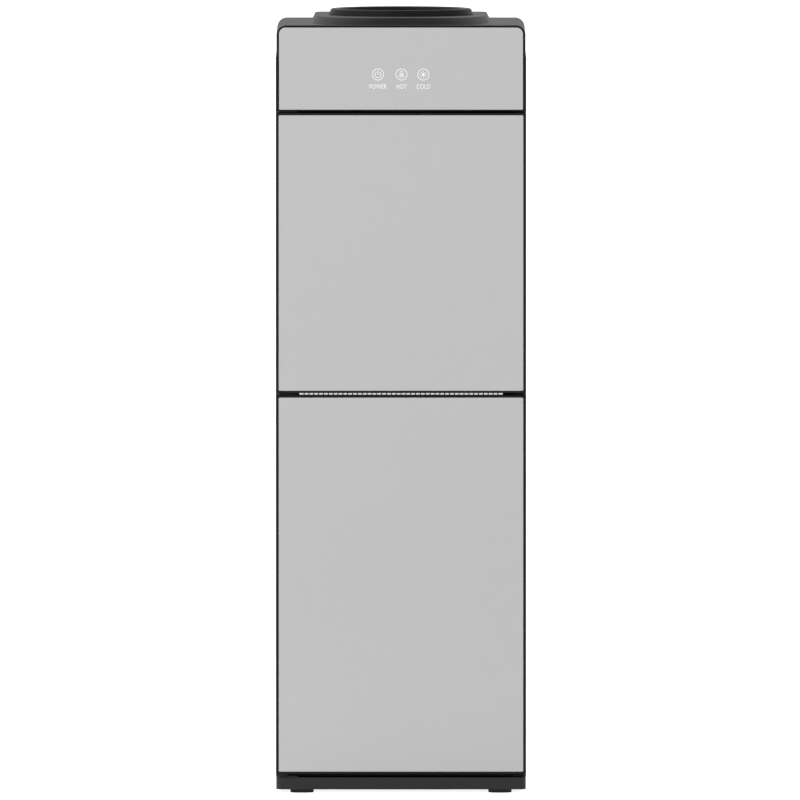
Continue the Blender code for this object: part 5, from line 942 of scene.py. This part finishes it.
def makeCondenser():
    half, pitch, y, r = condenser["half"], condenser["pitch"], condenser["y"], condenser["pitch"] / 2
    top, steps = condenserTop, 12
    path = [(half, y, top)]
    for run in range(1, condenser["runs"]):
        side = -1 if run % 2 else 1
        middle = top - (run - 0.5) * pitch
        for angle in (math.pi / 2 - step / steps * math.pi for step in range(steps + 1)):
            path.append((side * (half - r + r * math.cos(angle)), y, middle + r * math.sin(angle)))
    x, back = circuit["drier"]
    outlet = [(-half + r, y, condenser["low"]), (x, y, condenser["low"]), (x, y, 192.8), (x, back, 192.8),
              (x, back, 168)]
    pieces = [tube("condenserTube", path + bend(outlet, 7.2)[1:], condenser["tube"], "enamel")]
    low, high = condenser["wireEnds"]
    reach, step = (high - low) / 2, 2 * condenser["wireHalf"] / (condenser["wires"] - 1)
    for row in condenser["wireRows"]:
        wire = turned(rod(condenser["wire"], -reach, reach), steps=8)
        start = (-condenser["wireHalf"], row, (low + high) / 2)
        pieces.append(repeat("condenserWires", wire, "enamel", condenser["wires"], start, (step, 0, 0)))
    panel = condenser["panel"] + 0.3
    for x in (-condenser["bracket"], condenser["bracket"]):
        for z in (condenser["low"] + pitch, top - pitch):
            foot = rectangle((x - 6, z - 9), (x + 6, z + 9))
            bm = addSlab(bmesh.new(), foot, panel, panel + 1.4, "XZ", 2.5, 4)
            addSlab(bm, rectangle((x - 5, z - 0.8), (x + 5, z + 0.8)), panel + 0.7, y - 2, "XZ")
            pieces.append(bevelPiece(addPiece("condenserBracket", bm, "enamel"), 0.25, 1))
            clip = [(2.5, -4.5), (3.5, -4.5), (3.5, 4.5), (2.5, 4.5)]
            pieces.append(lathe("condenserClip", clip, "enamel", (x, y, z), "X", 24, True))
    standFor(joinPieces("condenser", *pieces), "condenser")


def makeCompressor():
    x, y, r, top, dome = (compressor[key] for key in ("x", "y", "radius", "top", "dome"))
    profile = [(0, top)] + [(r * math.sin(a), top - dome + dome * math.cos(a)) for a in quarter(16, 1)]
    profile += [(r, 104.6), (r + 0.5, 104.0), (r + 2.2, 103.7), (r + 2.5, 103.3), (r + 2.5, 100.7),
                (r + 2.2, 100.3), (r + 0.5, 100.0), (r, 99.4)]
    profile += [(r - 8 + 8 * math.cos(a), 39.6 - 8 * math.sin(a)) for a in quarter(8)] + [(0, 31.6)]
    halfX, halfY = compressor["plateHalf"]
    plate = rectangle((x - halfX, y - halfY), (x + halfX, y + halfY))
    box, strap = rectangle((y - 18, 62), (y + 18, 99.5)), rectangle((y - 19, 78), (y + 19, 82))
    pieces = [
        lathe("compressorShell", profile, "enamel", (x, y, 0), "Z", 96),
        bevelPiece(slab("compressorPlate", plate, 30.5, 32.7, "XY", "enamel", 10), 0.4),
        bevelPiece(slab("terminalCover", box, -12, 12, "YZ", "fitting", 5, 6), 1.6, 3),
        bevelPiece(slab("terminalStrap", strap, -11.6, 6, "YZ", "zinc"), 0.4, 1),
    ]
    grommet = [(8.0, 30.8), (7.9, 28.6), (6.9, 26.9), (6.5, 25.3), (6.9, 23.7), (7.9, 22.0), (8.0, 19.8),
               (3.3, 19.8), (3.3, 30.8)]
    nut = [(0, 41.0), (2.6, 41.0), (3.0, 40.4), (3.0, 37.4), (4.4, 37.4), (4.9, 36.9), (4.9, 34.4),
           (4.4, 34.0), (7.0, 34.0), (7.2, 33.7), (7.2, 32.7), (3.0, 32.7), (3.0, 27.2), (0, 27.2)]
    studX, studY = compressor["stud"]
    for start in ((x - studX, y - studY, 0), (x + studX, y - studY, 0)):
        grommets, nuts = turned(grommet, steps=32, looped=True), turned(nut, steps=24)
        pieces.append(repeat("grommets", grommets, "foot", 2, start, (0, 2 * studY, 0)))
        pieces.append(repeat("studNuts", nuts, "zinc", 2, start, (0, 2 * studY, 0)))
    lean = Vector((-1, 1, 0)).normalized()
    root = Vector((x, y, circuit["lineZ"])) + lean * (r - 1)
    elbow = root + lean * 13
    pieces.append(tube("chargingStub", bend([root, elbow, elbow + Vector((0, 0, 24))], 6), 2.6, "copper"))
    standFor(joinPieces("compressor", *pieces), "compressor")


def makeLines():
    x, y, reach = compressor["x"], compressor["y"], compressor["radius"]
    lineZ, r = circuit["lineZ"], circuit["line"]
    start, end = circuit["coilAngles"]
    low, high, back, side = circuit["coilLow"], circuit["coilHigh"], condenser["y"], 131
    collar = [(3.0, 0), (4.3, 0), (4.3, 3.0), (3.9, 3.6), (3.0, 3.6)]
    suction = [coilPoint(80.3, start, low), coilPoint(89.3, start, low), (108, y, low), (108, y, lineZ),
               (x + reach - 1, y, lineZ)]
    discharge = [(x, y + reach - 1, lineZ), (x, back, lineZ), (side, back, lineZ), (side, back, condenserTop),
                 (122.3, back, condenserTop)]
    for label, route, place, axis in (("suction", suction, (x + reach, y, lineZ), "X"),
                                      ("discharge", discharge, (x, y + reach, lineZ), "Y")):
        pipe = tube(label + "Tube", bend(route, 9), r, "copper")
        ring = lathe(label + "Collar", collar, "copper", place, axis, 24, True)
        standFor(joinPieces(label + "Line", pipe, ring), label + "_line")
    x, y = circuit["drier"]
    shell = lathe("drierShell", [
        (0, 170), (3.6, 170), (4.0, 169.6), (4.0, 166.5), (4.6, 164.6), (6.4, 162.2), (8.2, 159.6),
        (9.0, 156.5), (9.0, 113.5), (8.2, 110.4), (6.4, 107.8), (4.6, 105.4), (4.0, 103.5), (4.0, 100.4),
        (3.6, 100), (0, 100),
    ], "copper", (x, y, 0), "Z", 40)
    capillary = [(x, y, 101), (x, y, 91), (-143, circuit["capillaryY"], 91),
                 (-143, circuit["capillaryY"], high),
                 coilPoint(89.3, end, high), coilPoint(80.3, end, high)]
    thin = tube("capillaryTube", bend(capillary, 4.5, 5), circuit["capillary"], "copper", 8)
    standFor(joinPieces("filterDrier", shell, thin), "filter_drier")
    sweep, steps = end - start + 2 * math.tau, circuit["coilSteps"]
    coil = [coilPoint(80, start, low)]
    for share in (k / steps for k in range(steps + 1)):
        coil.append(coilPoint(circuit["coil"], start + sweep * share, low + (high - low) * share))
    coil.append(coilPoint(80, end, high))
    standFor(tube("evaporatorCoil", coil, r, "copper", 14), "evaporator_coil")


makeCondenser()
makeCompressor()
makeLines()
print("cooling circuit done")


# tanks, jackets, heater and hoses

tank = {"coldRadius": 55.0, "coldLow": 706.0, "coldTop": 888.0, "feed": (30, 52.9), "hot": (-58, 55),
        "hotRadius": 42.0, "hotLow": 564.2, "hotTop": 652.2, "neck": 25.7, "hotRound": 6, "sideZ": 576.2}
jackets = {"cold": 72, "coldLow": 697.7, "coldFloor": 705.7, "hot": 54.1, "hotLow": 555.9, "hotTop": 660.2,
           "bore": 5.6, "coilBore": 3.6}
hose = {"radius": 4.5, "bend": 12, "clampRadius": 4.6, "clampWidth": 5.0, "screw": (2.6, 3.2, 3.6),
        "under": 679.7}


def barb(length, upward=False):
    # a hose barb's profile from 0 down its axis, or up it
    points, step = [(0, -length), (2.8, -length)], 2.4
    while length > step:
        points += [(3.4, 1.2 - length), (3.0, 2.2 - length)]
        length -= step
    points += [(3.4, -0.4), (3.4, 0.6), (0, 0.6)]
    return [(r, -h) for r, h in points[::-1]] if upward else points


def partingCuts(x, y, radius, low, high):
    # the shallow groove where the two halves of a foam jacket meet
    spans = ((x - radius - 2, x - radius + 1.2), (x + radius - 1.2, x + radius + 2))
    return [slab("partingCut", rectangle((near, y - 0.5), (far, y + 0.5)), low - 2, high + 2, "XY", "foam")
            for near, far in spans]


def makeColdTank():
    place, outlets = (0, circuit["tankY"], 0), ((0, circuit["tankY"]), tank["feed"])
    r, low, top = tank["coldRadius"], tank["coldLow"], tank["coldTop"]
    drum = lathe("coldTank", [
        (0, low), (r - 5, low), (r - 1.5, low + 1.2), (r, low + 4.5), (r, top - 3), (r - 0.7, top - 0.8),
        (r - 2.5, top), (0, top),
    ], "tank", place, "Z", 96)
    adds = []
    boss = [(0, -6), (4.6, -6), (5.0, -5.6), (5.0, 0.8), (0, 0.8)]
    for x, y in outlets:
        adds.append(lathe("tankBoss", boss, "tank", (x, y, low), "Z", 32))
        adds.append(lathe("tankBarb", barb(12), "tank", (x, y, low - 6), "Z", 28))
    joinShapes(drum, "UNION", *adds)
    room = lathe("tankRoom", [
        (0, low + 1.2), (r - 1.4, low + 1.2), (r - 1.2, low + 5), (r - 1.2, top - 1.2), (0, top - 1.2),
    ], "tank", place, "Z", 96)
    neck = lathe("neckHole", rod(tank["neck"], top - 5, top + 2), "tank", steps=64)
    joinShapes(drum, "DIFFERENCE", room, neck)
    standFor(smooth(drum), "cold_tank")
    r, low, floor, bore = (jackets[key] for key in ("cold", "coldLow", "coldFloor", "bore"))
    top -= 1.2
    jacket = lathe("coldTankJacket", [
        (0, floor), (64, floor), (64, top - 0.6), (64.6, top), (70.8, top), (r, top - 1.2), (r, low + 1.5),
        (70.5, low), (0, low),
    ], "foam", place, "Z", 96)
    holes = [lathe("spigotHole", rod(bore, low - 2, floor + 2), "foam", (x, y, 0), "Z", 24)
             for x, y in outlets]
    for angle, z in zip(circuit["coilAngles"], (circuit["coilLow"], circuit["coilHigh"])):
        holes.append(tube("coilHole", [coilPoint(61, angle, z), coilPoint(75, angle, z)], jackets["coilBore"],
                          "foam", 20))
    joinShapes(jacket, "DIFFERENCE", *holes, *partingCuts(0, circuit["tankY"], r, low, top))
    standFor(jacket, "cold_tank_jacket")


def makeHotTank():
    x, y = tank["hot"]
    place, feedZ = (x, y, 0), tank["sideZ"]
    r, low, top, soft = tank["hotRadius"], tank["hotLow"], tank["hotTop"], tank["hotRound"]
    profile = [(0, top)]
    profile += [(r - soft + soft * math.sin(a), top - soft + soft * math.cos(a)) for a in quarter(6)]
    profile += [(r, 631.5), (r + 0.6, 630.9), (r + 0.6, 629.1), (r, 628.5)]
    profile += [(r - soft + soft * math.cos(a), low + soft - soft * math.sin(a)) for a in quarter(6)]
    drum = lathe("hotTank", profile + [(0, low)], "tank", place, "Z", 80)
    joinShapes(drum, "UNION",
               lathe("spigotDown", barb(18), "tank", (x, y, low), "Z", 28),
               lathe("spigotUp", barb(18, True), "tank", (x, y, top), "Z", 28),
               lathe("spigotSide", barb(17.1, True), "tank", (x + r, y, feedZ), "X", 28))
    standFor(smooth(drum), "hot_tank")
    band = [(45.5, 614.2), (45.8, 613.9), (45.8, 600.3), (45.4, 599.9), (45.4, 598.5), (45.8, 598.1),
            (45.8, 584.5), (45.5, 584.2), (42.3, 584.2), (42.3, 614.2)]
    standFor(lathe("heaterBand", band, "tank", place, "Z", 80, True), "heater_band")
    r, low, high, bore = jackets["hot"], jackets["hotLow"], jackets["hotTop"], jackets["bore"]
    jacket = lathe("hotTankJacket", [
        (0, high), (r - 1.1, high), (r, high - 1.1), (r, low + 1.1), (r - 1.1, low), (0, low),
    ], "foam", place, "Z", 80)
    joinShapes(jacket, "DIFFERENCE",
               lathe("hotRoom", rod(46.1, 563.9, 652.5), "foam", place, "Z", 80),
               lathe("hotHole", rod(bore, low - 2, high + 2), "foam", place, "Z", 24),
               lathe("feedHole", rod(bore, 44, 58), "foam", (x, y, feedZ), "X", 24),
               *partingCuts(x, y, r, low, high))
    standFor(jacket, "hot_tank_jacket")


def makeHoses():
    (hotX, hotY), (feedX, feedY), coldY = tank["hot"], tank["feed"], circuit["tankY"]
    under, tapX, barbY, side = hose["under"], tap["spread"], tap["barbY"], tank["sideZ"]
    routes = {
        "cold": [(0, coldY, 695.4), (0, coldY, under), (tapX, barbY, under), (tapX, barbY, 729)],
        "hot": [(hotX, hotY, 661), (hotX, hotY, under), (-tapX, barbY, under), (-tapX, barbY, 729)],
        "feed": [(feedX, feedY, 695.4), (feedX, feedY, 600.2), (feedX, hotY, side), (-3, hotY, side)],
        "drain": [(hotX, hotY, 553.6), (hotX, hotY, drain["z"]), (hotX, 134.6, drain["z"])],
    }
    for label, route in routes.items():
        pipe = tube(label + "Hose", bend(route, hose["bend"], 10), hose["radius"], "hose", 20)
        standFor(pipe, label + "_hose")
    r, half = hose["clampRadius"], hose["clampWidth"] / 2
    ring = [(r, -half), (r + 0.7, -half), (r + 0.8, -half + 0.3), (r + 0.8, half - 0.3), (r + 0.7, half),
            (r, half)]
    clamps = []
    for axis, *place in (
        ("Z", 0, coldY, 690), ("Z", feedX, feedY, 690), ("Z", tapX, barbY, 725), ("Z", -tapX, barbY, 725),
        ("Z", hotX, hotY, 665), ("Z", hotX, hotY, 549), ("Y", hotX, 131, drain["z"]), ("X", 0.6, hotY, side),
    ):
        clamps.append(lathe("hoseClamp", ring, "zinc", place, axis, 28, True))
        offset = (0, 0, r + 1.6) if axis == "Y" else (0, r + 1.6, 0)
        bm = bmesh.new()
        bmesh.ops.create_cube(bm, size=1)
        bmesh.ops.scale(bm, verts=bm.verts, vec=metres(*hose["screw"]))
        bmesh.ops.translate(bm, verts=bm.verts, vec=Vector(metres(*place)) + Vector(metres(*offset)))
        clamps.append(bevelPiece(addPiece("clampScrew", outward(bm), "zinc"), 0.5))
    addTo(joinPieces("hoseClamps", *clamps), "cold_hose")


makeColdTank()
makeHotTank()
makeHoses()
print("tanks and hoses done")


# screws, set out in rows by the Geometry Nodes tree: a radius and a height each

screws = {"panel": (3.6, 2.0), "door": (3.2, 1.1), "panelPitch": 134, "panelX": 148, "doorY": -134,
          "doorX": (-131.7, 135.7), "doorRows": {"upper": (515.3, 823.3), "lower": (43.2, 473.6)}}


def screwRow(name, kind, count, start, pitch):
    return repeat(name, crossHead(*screws[kind]), "zinc", count, start, (0, 0, pitch))


def makeScrews():
    back, pitch = condenser["panel"], condenser["pitch"]
    start = (back + 1.7, condenser["low"] + pitch + 5)
    rows = [screwRow("panelScrews", "panel", 6, (side * screws["panelX"], back, 216), screws["panelPitch"])
            for side in (-1, 1)]
    rows += [screwRow("bracketScrews", "door", 2, (side * condenser["bracket"], *start),
                      (condenser["runs"] - 3) * pitch) for side in (-1, 1)]
    addTo(joinPieces("rearScrews", *rows), "rear_panel")
    for door, (low, high) in screws["doorRows"].items():
        rows = [screwRow("doorScrews", "door", 3, (x, screws["doorY"], low), (high - low) / 2)
                for x in screws["doorX"]]
        addTo(joinPieces(door + "DoorScrews", *rows), door + "_door_back")


makeScrews()
print("screws done")


# print on the fascia: three lamps' signs with a word under each

fasciaPrint = {"y": -160, "thick": 0.04, "z": 890.4, "ring": 7.3, "line": 0.84, "wordZ": 872.8, "cap": 5.6,
               "capShare": 0.7, "embolden": 0.02, "narrow": 0.78,
               "signs": ((-28.5, "POWER"), (0.6, "HOT"), (27.7, "COLD"))}


def strokes(bm, lines, width):
    # each line of points drawn as a flat band of even width with square ends
    for line in lines:
        points = [Vector(p) for p in line]
        left, right = [], []
        for i, point in enumerate(points):
            ahead = points[min(i + 1, len(points) - 1)] - points[max(i - 1, 0)]
            side = Vector((-ahead.y, ahead.x)).normalized() * width / 2
            left.append(point + side)
            right.append(point - side)
        above, below = [[bm.verts.new(metres(p.x, p.y, 0)) for p in row] for row in (left, right)]
        for i in range(len(points) - 1):
            bm.faces.new((below[i], below[i + 1], above[i + 1], above[i]))


def arcLine(centre, radius, start, end, steps=24):
    return [(centre[0] + radius * math.cos(a), centre[1] + radius * math.sin(a))
            for a in (math.radians(start + (end - start) * k / steps) for k in range(steps + 1))]


def signLines(kind, r):
    # the sign inside each ring, in shares of the ring's radius
    if kind == "POWER":
        return [arcLine((0, -0.04 * r), 0.5 * r, 118, 422), [(0, 0.66 * r), (0, 0)]]
    if kind == "HOT":
        steam = [[((x + 0.05 * math.sin(k / 8 * math.tau)) * r, (0.36 + 0.28 * k / 8) * r) for k in range(9)]
                 for x in (-0.1, 0.14)]
        cup = [arcLine((0, 0.2 * r), share * r, 180, 360) for share in (0.36, 0.22)]
        return steam + cup + [[(-0.42 * r, 0.19 * r), (0.42 * r, 0.19 * r)],
                              arcLine((0, 0.38 * r), 0.8 * r, 228, 312)]
    lines = [arcLine((0, 0), share * r, 0, 360, 16) for share in (0.07, 0.19)]  # a filled middle
    for arm in range(8):
        outwards = Vector((math.cos(arm / 8 * math.tau), math.sin(arm / 8 * math.tau))) * r
        lines.append([outwards * 0.38, outwards * 0.6])
    return lines


def makePrint():
    bm = bmesh.new()
    r, line = fasciaPrint["ring"], fasciaPrint["line"]
    for x, word in fasciaPrint["signs"]:
        sign = bmesh.new()
        strokes(sign, [arcLine((0, 0), r - line / 2, 0, 360, 64)] + signLines(word, r), line)
        bmesh.ops.translate(sign, verts=sign.verts, vec=metres(x, fasciaPrint["z"], 0))
        flat = bpy.data.meshes.new("sign")
        sign.to_mesh(flat)
        sign.free()
        bm.from_mesh(flat)
        text = bpy.data.curves.new("word", "FONT")
        text.body = word
        text.size = fasciaPrint["cap"] * mm / fasciaPrint["capShare"]
        text.align_x = "CENTER"
        text.offset = fasciaPrint["embolden"] * mm
        holder = bpy.data.objects.new("word", text)
        bpy.context.scene.collection.objects.link(holder)
        bpy.context.view_layer.update()
        flat = bpy.data.meshes.new_from_object(holder)
        bpy.data.objects.remove(holder, do_unlink=True)
        place = Matrix.Translation(metres(x, fasciaPrint["wordZ"], 0))
        flat.transform(place @ Matrix.Diagonal((fasciaPrint["narrow"], 1, 1, 1)))
        bm.from_mesh(flat)
    upright = Matrix.Translation(metres(0, fasciaPrint["y"] + fasciaPrint["thick"], 0))
    bmesh.ops.transform(bm, matrix=upright @ Matrix.Rotation(math.pi / 2, 4, "X"), verts=bm.verts)
    for face in bm.faces:
        face.normal_update()
        if face.normal.y > 0:
            face.normal_flip()
    addTo(addPiece("fasciaPrint", bm, "ink"), "fascia_glass")


makePrint()
print("print done")


# floor, light and camera: the studio's and the lamps' lengths are in metres, and power is in watts

studio = {"worldFill": 0.6, "skyWhite": 1.0, "floorHalf": 60.0, "floorShare": 0.9,
          "lampTarget": (0, 0, 0.5), "lampSize": 2.4}
lamps = {"softboxLeft": ((-2.6, -3.0, 2.6), 70), "softboxRight": ((2.8, -2.4, 2.2), 20),
         "softboxTop": ((-1.4, 0.6, 3.2), 34)}
camera = {"lens": 1600.0, "sensor": 36.0, "pixel": 1.2378, "pixels": 800, "pitch": math.radians(2.42),
          "centrePixel": (401.0, 792.74), "frontLift": 1.2, "clipEnd": 100000}


def isRay(tree, *kinds):
    # 1 for a ray of any of these kinds, else 0
    rays = addNode(tree, "ShaderNodeLightPath").outputs
    found = rays[kinds[0]]
    for kind in kinds[1:]:
        found = addNode(tree, "ShaderNodeMath", {0: found, 1: rays[kind]}, operation="MAXIMUM").outputs[0]
    return found


def makeWorld():
    # white for the eye and for reflections, and a softer grey for the light that it gives
    world = bpy.data.worlds.new("studioWorld")
    bpy.context.scene.world = world
    world.use_nodes = True
    tree = world.node_tree
    seen = isRay(tree, "Is Camera Ray", "Is Glossy Ray", "Is Transmission Ray")
    background = tree.nodes["Background"]
    background.inputs["Color"].default_value = (1, 1, 1, 1)
    strength = spread(tree, seen, studio["worldFill"], studio["skyWhite"], 0, 1)
    tree.links.new(strength, background.inputs["Strength"])


def makeFloor():
    # a pale floor that keeps the object's shadow, and that the eye and reflections see as white
    half = studio["floorHalf"]
    mesh = bpy.data.meshes.new("studioFloor")
    mesh.from_pydata([(x, y, 0) for x, y in rectangle((-half, -half), (half, half))], [], [(0, 1, 2, 3)])
    floor = bpy.data.objects.new("studioFloor", mesh)
    bpy.context.scene.collection.objects.link(floor)
    material, tree, shader = startMaterial("paleFloor", "#e9e9e9", 0.9)[:3]
    shader.inputs["Specular IOR Level"].default_value = 0.0
    glow = addNode(tree, "ShaderNodeEmission", {"Strength": studio["floorShare"]})
    both = addNode(tree, "ShaderNodeAddShader", {0: glow.outputs[0], 1: shader.outputs[0]})
    mixed = addNode(tree, "ShaderNodeMixShader", {
        0: isRay(tree, "Is Camera Ray", "Is Glossy Ray"), 1: shader.outputs[0], 2: both.outputs[0],
    })
    tree.links.new(mixed.outputs[0], tree.nodes["Material Output"].inputs["Surface"])
    mesh.materials.append(material)


def makeLamp(name, place, power):
    light = bpy.data.lights.new(name, "AREA")
    light.shape = "SQUARE"
    light.size = studio["lampSize"]
    light.energy = power
    lamp = bpy.data.objects.new(name, light)
    lamp.location = place
    lamp.rotation_euler = (Vector(studio["lampTarget"]) - Vector(place)).to_track_quat("-Z", "Y").to_euler()
    bpy.context.scene.collection.objects.link(lamp)


def makeCamera():
    scene = bpy.context.scene
    data = bpy.data.cameras.new("photoCamera")
    data.type = "PERSP"
    data.lens = camera["lens"]
    data.sensor_width = camera["sensor"]
    data.clip_end = camera["clipEnd"]
    eye = bpy.data.objects.new("photoCamera", data)
    pixel, centre, pitch = camera["pixel"] * mm, camera["pixels"] / 2, camera["pitch"]
    distance = camera["pixels"] * pixel * camera["lens"] / camera["sensor"]
    target = Vector((
        (centre - camera["centrePixel"][0]) * pixel,
        cadBox[0][1],
        (camera["centrePixel"][1] - centre) * pixel + camera["frontLift"] * mm,
    ))
    eye.location = target + Vector((0, -math.cos(pitch), math.sin(pitch))) * distance
    eye.rotation_euler = (math.pi / 2 - pitch, 0, 0)
    scene.collection.objects.link(eye)
    scene.camera = eye
    scene.view_settings.view_transform = "Standard"


makeWorld()
makeFloor()
for name, (place, power) in lamps.items():
    makeLamp(name, place, power)
makeCamera()
print("studio done")
